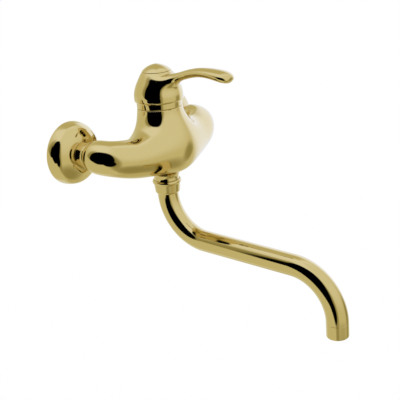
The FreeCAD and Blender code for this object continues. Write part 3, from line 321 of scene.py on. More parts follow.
def arc(start: tuple[float, float], through: tuple[float, float], end: tuple[float, float],
        steps: int = 14) -> Outline:
    """Points of a circular arc in an outline, without its start.

    Args:
        start: Radius and height where the arc starts.
        through: A point on it.
        end: Where it ends.
        steps: How many chords it has.

    Returns:
        The points after the start, up to the end.
    """
    (ax, ay), (bx, by), (cx, cy) = start, through, end
    d = 2 * (ax * (by - cy) + bx * (cy - ay) + cx * (ay - by))
    a2, b2, c2 = ax * ax + ay * ay, bx * bx + by * by, cx * cx + cy * cy
    mx = (a2 * (by - cy) + b2 * (cy - ay) + c2 * (ay - by)) / d
    my = (a2 * (cx - bx) + b2 * (ax - cx) + c2 * (bx - ax)) / d
    radius = math.hypot(ax - mx, ay - my)
    first = math.atan2(ay - my, ax - mx)
    turn = math.atan2(cy - my, cx - mx) - first
    middle = (math.atan2(by - my, bx - mx) - first) % math.tau
    turn %= math.tau
    if middle > turn:
        turn -= math.tau
    angles = [first + turn * i / steps for i in range(1, steps + 1)]
    return [(mx + radius * math.cos(angle), my + radius * math.sin(angle)) for angle in angles]


@dataclass
class Lathe:
    """Turns a closed outline about an axis, as a turner would."""

    centre: Vector
    along: Vector
    out: Vector
    steps: int = 160
    edge_segments: int = 3

    def turn(self, name: str, outline: Outline, edge_mm: float) -> bpy.types.Object:
        """Turn an outline into a closed piece with eased edges.

        Args:
            name: The piece's name.
            outline: Radius and height of each corner, in millimetres, in order.
            edge_mm: How far its sharp edges are eased.

        Returns:
            The finished mesh object.
        """
        points = [self.centre + self.out * (r * MM) + self.along * (h * MM) for r, h in outline]
        bpy.ops.object.select_all(action="DESELECT")
        bpy.ops.mesh.primitive_plane_add(size=MM, location=points[0])
        obj = name_piece(name)
        start_edit(obj)
        bpy.ops.mesh.select_all(action="SELECT")
        bpy.ops.mesh.merge(type="CENTER")
        for before, after in zip(points, points[1:] + points[:1]):
            bpy.ops.mesh.extrude_vertices_move(TRANSFORM_OT_translate={"value": after - before})
        weld_all()
        bpy.ops.mesh.spin(steps=self.steps, angle=math.tau, center=self.centre, axis=self.along)
        weld_all()
        end_edit()
        apply_modifier(obj, "BEVEL", width=edge_mm * MM, segments=self.edge_segments,
                       limit_method="ANGLE", angle_limit=SHARP_ANGLE)
        smooth(obj)
        apply_modifier(obj, "WEIGHTED_NORMAL", keep_sharp=True)
        return obj


TOWER_LATHE = Lathe(AXIS, UP, RIGHT)
LEFT_LATHE = Lathe(RIGHT * -INLET_X, FRONT, RIGHT)


def copy_across(obj: bpy.types.Object, name: str) -> bpy.types.Object:
    """Copy a left-hand piece to the right inlet, with its own mesh.

    Args:
        obj: The finished left piece.
        name: The copy's name.

    Returns:
        The copy.
    """
    twin = obj.copy()
    twin.data = obj.data.copy()
    twin.name = name
    twin.data.name = name
    twin.data.transform(Matrix.Translation((2 * INLET_X, 0, 0)))
    bpy.context.scene.collection.objects.link(twin)
    return twin


def dress(obj: bpy.types.Object, materials: dict[Slot, bpy.types.Material], slot: Slot, body: Body,
          *nodes: str) -> None:
    """Give a new piece its material, body and the CAD nodes that it stands for.

    Args:
        obj: The piece.
        materials: Every finish's material.
        slot: The finish to wear.
        body: The rigid body that it moves with.
        nodes: The CAD nodes that it replaces.
    """
    obj.data.materials.clear()
    obj.data.materials.append(materials[slot])
    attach(obj, body.value)
    if nodes:
        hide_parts(*nodes)
    log.info("made %s", obj.name)


def control_points(stations: list[tuple[float, ...]], rounds: int = 80) -> list[list[float]]:
    """Find the cage stations whose smooth skin passes through the wanted ones.

    Args:
        stations: Wanted values along a path; the first and last stay as they are.
        rounds: How often the correction is repeated.

    Returns:
        Cage values, one list for each station.
    """
    cage = [list(s) for s in stations]
    for _ in range(rounds):
        for i in range(1, len(cage) - 1):
            for k in range(len(cage[i])):
                skin = (cage[i - 1][k] + 4 * cage[i][k] + cage[i + 1][k]) / 6
                cage[i][k] += stations[i][k] - skin
    return cage


@dataclass(frozen=True)
class Ring:
    """One ring of a cage: a flat polygon that the smooth skin passes inside.

    Its widths lie along its side vector. Only rings whose side is the
    object's right may be wider than they are high.
    """

    place: Vector
    along: Vector
    side: Vector
    wide: float
    high: float

    def add(self) -> None:
        """Add the ring's polygon to the mesh that is being edited."""
        face = self.along.normalized()
        across = (self.side - face * self.side.dot(face)).normalized()
        turn = Matrix((across, face.cross(across), face)).transposed()
        bpy.ops.mesh.select_all(action="DESELECT")
        bpy.ops.mesh.primitive_circle_add(vertices=RING_CORNERS, radius=self.high, location=self.place,
                                          rotation=turn.to_euler())
        if self.wide != self.high:
            bpy.ops.transform.resize(value=(self.wide / self.high, 1, 1), center_override=self.place)

    def holds(self, point: Vector) -> bool:
        """Say whether a point of the mesh belongs to this ring."""
        offset = point - self.place
        on_plane = abs(offset.dot(self.along.normalized())) < PLANE_GAP
        return on_plane and offset.length < max(self.wide, self.high) * RING_SLACK


def select_where(obj: bpy.types.Object, wanted: PlaceTest) -> None:
    """Select the corners of the mesh being edited by their place, and nothing else.

    Args:
        obj: The object that is being edited.
        wanted: Says whether the corner at a place is wanted.
    """
    bpy.ops.mesh.select_all(action="DESELECT")
    mesh = bmesh.from_edit_mesh(obj.data)
    for corner in mesh.verts:
        if wanted(corner.co):
            corner.select_set(True)
    mesh.select_flush(True)
    bmesh.update_edit_mesh(obj.data)


def bridge(obj: bpy.types.Object, first: PlaceTest, second: PlaceTest) -> None:
    """Bridge two open rings of the mesh being edited.

    Args:
        obj: The object that is being edited.
        first: Says whether a place is in the first ring.
        second: Says whether a place is in the second ring.
    """
    select_where(obj, lambda place: first(place) or second(place))
    bpy.ops.mesh.bridge_edge_loops()


def bridge_rings(obj: bpy.types.Object, rings: list[Ring]) -> None:
    """Bridge each ring in the mesh being edited to the next."""
    for before, after in zip(rings, rings[1:]):
        bridge(obj, before.holds, after.holds)


def sleeve_along(obj: bpy.types.Object, rings: list[Ring]) -> None:
    """Add a row of rings to the mesh being edited and bridge each to the next.

    Args:
        obj: The object that is being edited.
        rings: The rings in order.
    """
    for ring in rings:
        ring.add()
    bridge_rings(obj, rings)


def path_rings(stations: list[tuple[float, ...]], side: Vector) -> list[Ring]:
    """Rings whose smooth skin passes through the wanted ovals along a path.

    Args:
        stations: Place x, y and z, half width and half height of each oval, in millimetres.
        side: The direction of their widths.

    Returns:
        The cage's rings in order.
    """
    cage = control_points(stations)
    places = [Vector(c[:3]) * MM for c in cage]
    rings = []
    for i, (place, values) in enumerate(zip(places, cage)):
        before, after = places[max(i - 1, 0)], places[min(i + 1, len(places) - 1)]
        wide, high = values[3] * MM / SKIN_SHARE, values[4] * MM / SKIN_SHARE
        rings.append(Ring(place, after - before, side, wide, high))
    return rings


@dataclass
class WallFittings:
    """The two wall roses and the smooth collars of the union nuts, each turned once and copied."""

    materials: dict[Slot, bpy.types.Material]
    rim_mm: float = 32.0
    wall_mm: float = 1.4
    rose_bore_mm: float = 10.78
    rose_edge_mm: float = 0.3
    nut_mm: float = 13.4
    thread_bore_mm: float = 10.58
    nut_edge_mm: float = 0.12

    def rose(self) -> Outline:
        """Outline of a pressed wall rose, hollow at its back."""
        rim, bore = self.rim_mm, self.rose_bore_mm
        outer = [(bore, 18.1), (bore, 19.5)] + arc((bore, 19.5), (18.2, 18.2), (25.1, 15.2))
        outer += arc((25.1, 15.2), (27.35, 13.65), (29.3, 11.6), 8)
        outer += arc((29.3, 11.6), (30.55, 9.25), (31.3, 6.6), 8)
        outer += arc((31.3, 6.6), (31.77, 4.1), (rim, 1.5), 6) + [(rim, 0.0)]
        inner = [(rim - self.wall_mm, 0.0), (30.2, 6.8)] + arc((30.2, 6.8), (29.7, 8.7), (28.4, 10.7), 8)
        inner += arc((28.4, 10.7), (26.4, 12.6), (24.4, 14.0), 8)
        return outer + inner + arc((24.4, 14.0), (17.7, 16.8), (bore, 18.1))[:-1]

    def collar(self) -> Outline:
        """Outline of a union nut's smooth collar with its thread bore and lip."""
        r, bore = self.nut_mm, self.thread_bore_mm
        outer = [(bore, 19.6), (r - 0.8, 19.6)] + arc((r - 0.8, 19.6), (r - 0.23, 19.83), (r, 20.4), 5)
        outer += [(r, 29.1)] + arc((r, 29.1), (r - 0.23, 29.67), (r - 0.8, 29.9), 5)
        return outer + [(8.6, 29.9), (8.6, 28.3), (bore, 28.3)]

    def build(self) -> None:
        """Turn both left-hand pieces, then copy them to the right inlet."""
        rose = LEFT_LATHE.turn("left_wall_rose", self.rose(), self.rose_edge_mm)
        nut = LEFT_LATHE.turn("left_collar_nut", self.collar(), self.nut_edge_mm)
        twins = [(rose, "left_wall_flange"), (copy_across(rose, "right_wall_rose"), "right_wall_flange"),
                 (nut, "left_union_nut"), (copy_across(nut, "right_collar_nut"), "right_union_nut")]
        for piece, node in twins:
            dress(piece, self.materials, Slot.GOLD, Body.CASTING, node)


@dataclass
class Casting:
    """The one-piece cast body: two curved legs, the belly, the tower and the outlet neck.

    The heart is where all four meet. Its corners are half widths, half depths
    and heights from its centre: the belly's front and back, the crests above
    and below them, the flanks beside them, the shoulders between, and the
    saddles over and under each leg. A height comes as top and bottom.

    The legs are x, y, z and radius of each station, from the belly to the
    left or right inlet. The tower and the neck are height and radius. A mouth
    is the radius and the distance outwards of each next ring, from the end of
    the skin to the bottom of the bore.
    """

    materials: dict[Slot, bpy.types.Material]
    heart_mm: tuple[float, float, float] = (0.0, -63.5, -5.0)
    belly_depth_mm: float = 37.0
    crest_mm: tuple[float, float, float] = (29.0, 22.0, -25.0)
    flank_mm: tuple[float, float] = (27.0, 28.0)
    shoulder_mm: tuple[float, float, float, float] = (24.0, 23.0, 18.0, -22.0)
    saddle_mm: tuple[float, float, float] = (31.0, 24.0, -27.0)
    leg_root_mm: tuple[float, ...] = (22.0, -63.0, -7.7, 26.4)
    leg_mm: list[tuple[float, ...]] = field(default_factory=lambda: [
        (44.0, -61.4, -7.0, 20.9), (59.5, -58.1, -4.3, 18.8), (71.4, -49.5, -1.3, 17.5),
        (75.0, -38.0, 0.0, 16.6), (75.0, -30.2, 0.0, 13.5)])
    tower_mm: list[tuple[float, float]] = field(default_factory=lambda: [(28.0, 24.1), (35.1, 23.2)])
    neck_mm: list[tuple[float, float]] = field(default_factory=lambda: [
        (-32.5, 16.2), (-38.0, 13.4), (-42.2, 13.4)])
    leg_mouth_mm: Outline = field(default_factory=lambda: [(8.4, 0.0), (8.4, -8.1)])
    tower_mouth_mm: Outline = field(default_factory=lambda: [
        (23.11, 0.27), (22.99, 0.49), (22.77, 0.64), (22.5, 0.7), (20.0, 0.7), (20.0, -6.5), (17.7, -6.5),
        (17.7, -29.1)])
    neck_mouth_mm: Outline = field(default_factory=lambda: [
        (12.0, 0.0), (12.0, 7.6), (9.2, 7.6), (9.2, -20.2)])

    def heart_place(self, corner: Vector) -> Vector:
        """Where a corner of the blocked-out heart goes.

        Args:
            corner: Its place on a cube of 2 units, subdivided once.

        Returns:
            Its place in the cage, in millimetres.
        """
        i, j, k = (round(c) for c in corner)
        width, depth, top, bottom = 0.0, self.belly_depth_mm, 0.0, 0.0
        if j == 0:
            width, top, bottom = self.saddle_mm
        elif i and k:
            width, depth, top, bottom = self.shoulder_mm
        elif i:
            width, depth = self.flank_mm
        elif k:
            depth, top, bottom = self.crest_mm
        return Vector((i * width, j * depth, top if k > 0 else bottom)) + Vector(self.heart_mm)

    def block_out_heart(self) -> bpy.types.Object:
        """Start from a cube and open it towards both legs, the tower and the neck.

        Returns:
            The cage's object, in edit mode.
        """
        # Drawn ten times as large in millimetres, so no moved corner comes near one still to be moved
        scale = 10
        near = 0.1
        bpy.ops.object.select_all(action="DESELECT")
        bpy.ops.mesh.primitive_cube_add(size=2.0)
        obj = name_piece("cast_body")
        start_edit(obj)
        bpy.ops.mesh.select_all(action="SELECT")
        bpy.ops.mesh.subdivide(number_cuts=1)
        select_where(obj, lambda p: abs(p.y) < near and abs(p.x) + abs(p.z) < 1 + near)
        bpy.ops.mesh.delete(type="VERT")
        places = [v.co.copy() for v in bmesh.from_edit_mesh(obj.data).verts]
        for corner in places:
            select_where(obj, lambda p: (p - corner).length < near)
            bpy.ops.transform.translate(value=self.heart_place(corner) * scale - corner)
        bpy.ops.mesh.select_all(action="SELECT")
        bpy.ops.transform.resize(value=(MM / scale,) * 3, center_override=(0, 0, 0))
        return obj

    def open_edge(self, axis: int, side: int) -> PlaceTest:
        """Describe one opening of the heart.

        Args:
            axis: 0 for the legs' openings, 2 for the tower's and the neck's.
            side: 1 or -1.

        Returns:
            A test for the corners round that opening.
        """
        grid = [Vector(corner) for corner in itertools.product((-1, 0, 1), repeat=3)]
        round_it = [c for c in grid if c[axis] == side and abs(c.x) + abs(c.y) + abs(c.z) > 1]
        places = [self.heart_place(corner) * MM for corner in round_it]
        near = 0.5 * MM
        return lambda point: any((point - place).length < near for place in places)

    def draw_cage(self) -> bpy.types.Object:
        """Join the heart's four openings to the legs, the tower and the neck.

        Returns:
            The closed cage with four open ends, in object mode.
        """
        obj = self.block_out_heart()
        for side in (-1, 1):
            stations = [(side * x, y, z, r, r) for x, y, z, r in [self.leg_root_mm, *self.leg_mm]]
            rings = path_rings(stations, UP)[1:]
            rings[-1] = replace(rings[-1], along=-FRONT)
            sleeve_along(obj, rings)
            bridge(obj, self.open_edge(0, side), rings[0].holds)
        for line, side in ((self.tower_mm, 1), (self.neck_mm, -1)):
            rings = path_rings([(0.0, AXIS_Y_MM, z, r, r) for z, r in line], RIGHT)
            sleeve_along(obj, rings)
            bridge(obj, self.open_edge(2, side), rings[0].holds)
        end_edit()
        return obj

    def finish_mouth(self, obj: bpy.types.Object, place_mm: tuple[float, float, float], along: Vector,
                     open_mm: float, steps: Outline) -> None:
        """Turn an open end of the skin inwards as a face and a bore, and close the bore.

        Args:
            obj: The body, in edit mode.
            place_mm: The centre of the open end.
            along: Which way the end faces.
            open_mm: The radius of the open end.
            steps: Radius and distance outwards of each next ring, in millimetres.
        """
        place = Vector(place_mm) * MM
        flat, near = 0.05 * MM, 1.1 * open_mm * MM
        select_where(obj, lambda p: abs((p - place).dot(along)) < flat and (p - place).length < near)
        radius, reach = open_mm, 0.0
        for next_radius, next_reach in steps:
            bpy.ops.mesh.extrude_region_move(
                TRANSFORM_OT_translate={"value": along * ((next_reach - reach) * MM)})
            centre = place + along * (next_reach * MM)
            bpy.ops.transform.resize(value=(next_radius / radius,) * 3, center_override=centre)
            radius, reach = next_radius, next_reach
        bpy.ops.mesh.edge_face_add()

    def build(self) -> None:
        """Draw the body's cage, smooth it, and finish its four mouths."""
        obj = self.draw_cage()
        smooth_skin(obj)
        start_edit(obj)
        x, y, z, leg_end = self.leg_mm[-1]
        for side in (-1, 1):
            self.finish_mouth(obj, (side * x, y, z), -FRONT, leg_end, self.leg_mouth_mm)
        for line, along, steps in ((self.tower_mm, UP, self.tower_mouth_mm),
                                   (self.neck_mm, -UP, self.neck_mouth_mm)):
            height, radius = line[-1]
            self.finish_mouth(obj, (0.0, AXIS_Y_MM, height), along, radius, steps)
        end_edit()
        smooth(obj)
        dress(obj, self.materials, Slot.GOLD, Body.CASTING, "body_casting")


@dataclass
class Lever:
    """The cap and its blade in one casting, with the domed button in the cap's top.

    The cap is radius and height of each station, from the button's seat down
    to the rim. The blade is x, y, z, half width and half thickness of each
    station, from its root in the cap to its tip.
    """

    materials: dict[Slot, bpy.types.Material]
    cap_mm: Outline = field(default_factory=lambda: [
        (14.75, 72.0), (17.0, 68.9), (19.8, 63.8), (23.0, 57.2), (24.9, 50.6), (25.2, 47.0), (25.2, 44.4),
        (24.95, 43.2), (24.5, 42.4), (23.9, 42.1)])
    blade_mm: list[tuple[float, ...]] = field(default_factory=lambda: [
        (0.0, -83.5, 65.2, 8.3, 6.1), (0.0, -90.0, 67.9, 7.1, 4.5), (0.0, -102.0, 71.6, 6.6, 4.35),
        (0.0, -120.0, 74.4, 8.3, 4.7), (0.0, -138.0, 73.2, 10.0, 5.45), (0.0, -147.0, 71.3, 9.6, 5.2),
        (0.0, -153.0, 69.5, 6.4, 3.6)])
    wall_mm: float = 1.0
    core_edge_mm: float = 0.1
    button_edge_mm: float = 0.15

    def button(self) -> Outline:
        """Outline of the domed button with its spigot."""
        dome = arc((14.7, 72.6), (7.4, 77.45), (0.0, 79.1), 24)
        spigot = [(0.0, 72.2), (8.0, 72.2), (8.0, 69.2), (11.3, 69.2), (11.3, 72.2), (14.3, 72.2)]
        return spigot + [(14.7, 72.6)] + dome

    def core(self) -> Outline:
        """Outline of the cap's ceiling with the button's recess and the hub for the stem."""
        recess = [(2.6, 60.4), (2.6, 66.0), (11.6, 66.0), (11.6, 72.1), (14.3, 72.1)]
        ceiling = [(17.3, 67.5), (19.4, 63.5), (20.0, 62.0), (8.2, 62.0)]
        return recess + ceiling + [(8.2, 49.0), (4.65, 49.0), (4.65, 60.4)]

    def draw_cap(self, rings: list[Ring]) -> bpy.types.Object:
        """Draw the cap's cage from its top ring down.

        Args:
            rings: The cap's rings, from the top.

        Returns:
            The cage's object, in edit mode.
        """
        bpy.ops.object.select_all(action="DESELECT")
        top = rings[0]
        bpy.ops.mesh.primitive_circle_add(vertices=RING_CORNERS, radius=top.wide, location=top.place)
        obj = name_piece("lever_cap_and_blade")
        start_edit(obj)
        for ring in rings[1:]:
            ring.add()
        bridge_rings(obj, rings)
        return obj

    def grow_blade(self, obj: bpy.types.Object, front: list[Ring]) -> None:
        """Open the cap's front, grow the blade out of it and close the blade's tip.

        Args:
            obj: The cap's cage, in edit mode.
            front: The three rings of the cap round the opening.
        """
        middle, front_half = 0.1 * MM, AXIS.y - 5 * MM
        select_where(obj, lambda p: front[1].holds(p) and abs(p.x) < middle and p.y < front_half)
        bpy.ops.mesh.delete(type="VERT")
        blade = path_rings(self.blade_mm, RIGHT)
        sleeve_along(obj, blade)
        bridge(obj, lambda p: p.y < front_half and any(ring.holds(p) for ring in front), blade[0].holds)
        select_where(obj, blade[-1].holds)
        bpy.ops.mesh.fill_grid(span=2)

    def build(self) -> None:
        """Draw the cap and its blade in one cage, smooth them, and turn the core and the button."""
        rings = path_rings([(0.0, AXIS_Y_MM, z, r, r) for r, z in self.cap_mm], RIGHT)
        obj = self.draw_cap(rings)
        self.grow_blade(obj, rings[1:4])
        end_edit()
        smooth_skin(obj)
        apply_modifier(obj, "SOLIDIFY", thickness=self.wall_mm * MM, offset=-1.0)
        smooth(obj)
        core = TOWER_LATHE.turn("lever_cap_core", self.core(), self.core_edge_mm)
        button = TOWER_LATHE.turn("domed_button", self.button(), self.button_edge_mm)
        dress(obj, self.materials, Slot.GOLD, Body.LEVER, "lever_handle")
        dress(core, self.materials, Slot.GOLD, Body.LEVER)
        dress(button, self.materials, Slot.GOLD, Body.LEVER, "dome_button")


@dataclass
class CoverRing:
    """The turned ring between the tower and the cap."""

    materials: dict[Slot, bpy.types.Material]
    edge_mm: float = 0.3

    def outline(self) -> Outline:
        """Outline of the ring with its recess for the retaining nut."""
        outer = [(20.7, 35.8), (22.1, 35.8)] + arc((22.1, 35.8), (22.85, 36.15), (23.2, 36.9), 6)
        outer += [(23.2, 42.4)] + arc((23.2, 42.4), (21.8, 45.0), (20.0, 47.4))
        return outer + [(18.4, 47.4), (18.4, 45.8), (19.1, 45.8), (20.7, 42.4)]

    def build(self) -> None:
        """Turn the ring."""
        ring = TOWER_LATHE.turn("tower_cover_ring", self.outline(), self.edge_mm)
        dress(ring, self.materials, Slot.GOLD, Body.CASTING, "cover_ring")


@dataclass
class Spout:
    """The bent tube, the nut that holds it and the aerator housing at its end.

    The tube's line is a short drop, a bend towards the front, a run, a bend
    back down and a short drop. Both bends turn by the same angle.
    """

    materials: dict[Slot, bpy.types.Material]
    tube_mm: float = 11.0
    wall_mm: float = 1.5
    tube_corners: int = 96
    start_mm: tuple[float, float, float] = (0.0, AXIS_Y_MM, -52.5)
    drop_mm: tuple[float, float, float] = (0.0, 0.0, -4.7)
    upper_bend_centre_mm: tuple[float, float, float] = (0.0, -108.0, -57.2)
    run_mm: tuple[float, float, float] = (0.0, -106.335, -3.71)
    lower_bend_centre_mm: tuple[float, float, float] = (0.0, -210.91, -158.85)
    end_mm: tuple[float, float, float] = (0.0, 0.0, -0.3)
    bend_degrees: float = 88.0
    bend_steps: int = 64
    outlet_y_mm: float = -260.92
    nut_edge_mm: float = 0.15
    aerator_edge_mm: float = 0.1

    def nut(self) -> Outline:
        """Outline of the spout nut: a small bead over a tapering skirt."""
        outer = [(12.1, -42.4), (13.9, -42.4)] + arc((13.9, -42.4), (15.2, -44.7), (13.9, -47.0))
        outer += [(13.1, -54.4)] + arc((13.1, -54.4), (12.8, -55.96), (11.9, -57.0), 8)
        return outer + [(11.3, -57.0), (11.3, -53.5), (12.1, -53.5)]

    def aerator(self) -> Outline:
        """Outline of the aerator housing with its rounded mouth and inner lip."""
        outer = [(9.2, -156.2), (9.2, -159.15), (10.6, -159.15)]
        outer += arc((10.6, -159.15), (10.88, -159.27), (11.0, -159.55), 4)
        outer += [(11.0, -172.75)] + arc((11.0, -172.75), (10.65, -173.6), (9.8, -173.95), 6)
        return outer + [(7.6, -173.95), (7.6, -173.0), (8.3, -173.0), (8.3, -156.2)]

    def push(self, way_mm: tuple[float, float, float]) -> None:
        """Draw the tube's open end out in a straight line."""
        bpy.ops.mesh.extrude_region_move(TRANSFORM_OT_translate={"value": Vector(way_mm) * MM})

    def bend(self, centre_mm: tuple[float, float, float], side: int) -> None:
        """Draw the tube's open end round a bend.

        Args:
            centre_mm: The centre of the bend's arc.
            side: 1 to bend towards the front, -1 to bend back down.
        """
        bpy.ops.mesh.spin(steps=self.bend_steps, angle=side * math.radians(self.bend_degrees),
                          center=Vector(centre_mm) * MM, axis=RIGHT)

    def tube(self) -> bpy.types.Object:
        """Draw the tube out of one circle along its line.

        Returns:
            The finished tube with its wall.
        """
        bpy.ops.object.select_all(action="DESELECT")
        bpy.ops.mesh.primitive_circle_add(vertices=self.tube_corners, radius=self.tube_mm * MM,
                                          location=Vector(self.start_mm) * MM)
        obj = name_piece("spout_s_tube")
        start_edit(obj)
        bpy.ops.mesh.select_all(action="SELECT")
        self.push(self.drop_mm)
        self.bend(self.upper_bend_centre_mm, 1)
        self.push(self.run_mm)
        self.bend(self.lower_bend_centre_mm, -1)
        self.push(self.end_mm)
        weld_all()
        end_edit()
        apply_modifier(obj, "SOLIDIFY", thickness=self.wall_mm * MM, offset=-1.0, use_even_offset=True)
        smooth(obj)
        return obj

    def build(self) -> None:
        """Make the tube and turn the nut and the aerator housing."""
        tube = self.tube()
        nut = TOWER_LATHE.turn("spout_union_nut", self.nut(), self.nut_edge_mm)
        outlet_lathe = Lathe(Vector((0, self.outlet_y_mm * MM, 0)), UP, RIGHT)
        aerator = outlet_lathe.turn("outlet_aerator_housing", self.aerator(), self.aerator_edge_mm)
        dress(tube, self.materials, Slot.GOLD, Body.SPOUT, "spout_tube")
        dress(nut, self.materials, Slot.GOLD, Body.CASTING, "spout_nut")
        dress(aerator, self.materials, Slot.GOLD, Body.SPOUT, "aerator_housing")


class Cloth(Enum):
    """The cloths of the light tent, as sRGB hex colours."""

    VELVET = "000000"
    OLIVE = "A39E70"
    KHAKI = "D0CBA2"
    LINEN = "DCDABA"
    CREAM = "EDF0E6"
    WHITE = "F6FBFF"
    DAYLIGHT = "D9E2FF"


@dataclass(frozen=True)
class TentPatch:
    """One soft-edged patch of the light tent, seen only as a reflection.

    Its middle is given from the object, as the angle to the right of the
    camera's direction and the angle above the level, both in degrees. A
    power of 2 makes it an oval, and a higher one squares it off. The gain
    brightens its cloth.
    """

    name: str
    right: float
    above: float
    half_wide: float
    half_high: float
    softness: float
    cloth: Cloth
    power: float = 2.0
    turn: float = 0.0
    gain: float = 1.0


TENT_PATCHES = [
    TentPatch("lower_left_bounce", -112, -42, 48, 32, 0.8, Cloth.CREAM),
    TentPatch("wall_side_shade_left", -180, 50, 48, 32, 0.8, Cloth.KHAKI),
    TentPatch("wall_side_shade_right", 180, 52, 40, 30, 0.8, Cloth.KHAKI),
    TentPatch("right_front_panel", 55, 44, 60, 46, 0.8, Cloth.CREAM),
    TentPatch("right_front_low", 45, -55, 54, 24, 0.95, Cloth.OLIVE),
    TentPatch("right_low", 97, -22, 15, 18, 0.9, Cloth.OLIVE),
    TentPatch("right_back_window", 150, 4, 36, 36, 0.6, Cloth.DAYLIGHT, gain=1.5),
    TentPatch("opening_corner", -72, -50, 60, 40, 0.12, Cloth.LINEN, power=8.0, turn=-44),
    TentPatch("left_half_shade", -64, 18, 18, 26, 0.8, Cloth.OLIVE),
    TentPatch("right_half_shade", 1, -6, 17, 40, 0.7, Cloth.OLIVE),
    TentPatch("dark_opening", -30, 14.5, 38, 34.5, 0.14, Cloth.VELVET, power=2.6),
    TentPatch("dark_opening_foot", -11, -12, 19, 20, 0.2, Cloth.VELVET),
    TentPatch("opening_foot_corner", -70, -52, 60, 40, 0.14, Cloth.LINEN, power=8.0, turn=-44),
]

# The tent's own cloth by the angle above the level, in degrees, from its foot to its crown
TENT_CLOTHS = [(-90, Cloth.KHAKI), (-70, Cloth.KHAKI), (-40, Cloth.LINEN), (22, Cloth.LINEN),
               (60, Cloth.WHITE), (90, Cloth.WHITE)]


@dataclass
class Studio:
    """A white studio: a pale floor, a light tent round the object and the camera.

    The camera's azimuth, elevation and roll are in radians and its distance
    in metres, from the tower's axis at the height of the inlets. The aim is
    how far right and up it stands off that line.
    """

    azimuth: float = -0.8767353
    elevation: float = 0.3515231
    roll: float = 0.0835582
    distance: float = 0.933354
    focal_pixels: float = 903.796
    aim: tuple[float, float] = (0.032775, -0.065680)
    clip: tuple[float, float] = (0.05, 50.0)
    floor_height: float = -1.0
    floor_width: float = 40.0
    tent_radius: float = 1.1
    tent_segments: int = 64
    tent_rings: int = 32

    def camera(self) -> None:
        """Place the camera where the photograph was taken from."""
        ca, sa = math.cos(self.azimuth), math.sin(self.azimuth)
        ce, se = math.cos(self.elevation), math.sin(self.elevation)
        right, back = Vector((ca, sa, 0)), Vector((sa * ce, -ca * ce, se))
        up = back.cross(right)
        place = AXIS + back * self.distance + right * self.aim[0] + up * self.aim[1]
        cr, sr = math.cos(self.roll), math.sin(self.roll)
        turn = Matrix((right * cr - up * sr, right * sr + up * cr, back)).transposed().to_4x4()
        data = bpy.data.cameras.new("studio_camera")
        data.lens = self.focal_pixels * SENSOR_MM / PHOTO_PIXELS
        data.clip_start, data.clip_end = self.clip
        camera = bpy.data.objects.new("studio_camera", data)
        camera.matrix_world = Matrix.Translation(place) @ turn
        bpy.context.scene.collection.objects.link(camera)
        bpy.context.scene.camera = camera

    def world(self) -> None:
        """Fill the room with plain white light."""
        world = bpy.data.worlds.new("white_studio")
        world.use_nodes = True
        tree = world.node_tree
        tree.nodes.clear()
        sky = add_node(tree, "ShaderNodeBackground", values={"Color": (1, 1, 1, 1), "Strength": 1.0})
        add_node(tree, "ShaderNodeOutputWorld", links={"Surface": sky.outputs["Background"]})
        bpy.context.scene.world = world

    def floor(self) -> None:
        """Lay a wide white floor under the object, as far down as a real one is."""
        bpy.ops.object.select_all(action="DESELECT")
        bpy.ops.mesh.primitive_plane_add(size=self.floor_width, location=(0, 0, self.floor_height))
        floor = name_piece("studio_floor")
        # Matt white paper: even and bright, with the object's soft shadow on it
        material = bare_material("matt_white_paper")
        tree = material.node_tree
        paper = add_node(tree, "ShaderNodeBsdfDiffuse", values={"Color": (1, 1, 1, 1)})
        add_node(tree, "ShaderNodeOutputMaterial", links={"Surface": paper.outputs["BSDF"]})
        floor.data.materials.append(material)
        floor.visible_glossy = False

    def tent_place(self, tree: bpy.types.NodeTree) -> tuple[bpy.types.NodeSocket, bpy.types.NodeSocket]:
        """Work out where each point of the tent is, as seen from its middle.

        Args:
            tree: The tent's node tree.

        Returns:
            The angles to the right and above, in degrees, and the angle above from 0 to 1.
        """
        place = add_node(tree, "ShaderNodeTexCoord").outputs["Object"]
        unit = add_node(tree, "ShaderNodeVectorMath", {"operation": "NORMALIZE"}, links={0: place})
        split = add_node(tree, "ShaderNodeSeparateXYZ", links={0: unit.outputs[0]})
        towards = add_node(tree, "ShaderNodeMath", {"operation": "MULTIPLY"}, {1: -1.0},
                           {0: split.outputs[1]})
        side = add_node(tree, "ShaderNodeMath", {"operation": "ARCTAN2"},
                        links={0: split.outputs[0], 1: towards.outputs[0]})
        rise = add_node(tree, "ShaderNodeMath", {"operation": "ARCSINE"}, links={0: split.outputs[2]})
        angles = add_node(tree, "ShaderNodeCombineXYZ", links={0: side.outputs[0], 1: rise.outputs[0]})
        degrees = add_node(tree, "ShaderNodeVectorMath", {"operation": "SCALE"}, {"Scale": DEGREES_IN_RADIAN},
                           {0: angles.outputs[0]})
        above = add_node(tree, "ShaderNodeMath", {"operation": "MULTIPLY"}, {1: DEGREES_IN_RADIAN},
                         {0: rise.outputs[0]})
        share = add_node(tree, "ShaderNodeMapRange", values={"From Min": -90.0, "From Max": 90.0},
                         links={"Value": above.outputs[0]})
        return degrees.outputs[0], share.outputs["Result"]

    def tent_cloth(self, tree: bpy.types.NodeTree, share: bpy.types.NodeSocket) -> bpy.types.NodeSocket:
        """Grade the tent's own cloth from its foot to its crown.

        Args:
            tree: The tent's node tree.
            share: Each point's angle above the level, from 0 to 1.

        Returns:
            The colour of the bare tent.
        """
        ramp = add_node(tree, "ShaderNodeValToRGB", links={0: share})
        ramp.color_ramp.interpolation = "EASE"
        stops = ramp.color_ramp.elements
        for above, cloth in TENT_CLOTHS[1:-1]:
            stops.new((above + 90) / 180).color = linear(cloth.value)
        stops[0].color = linear(TENT_CLOTHS[0][1].value)
        stops[-1].color = linear(TENT_CLOTHS[-1][1].value)
        return ramp.outputs["Color"]

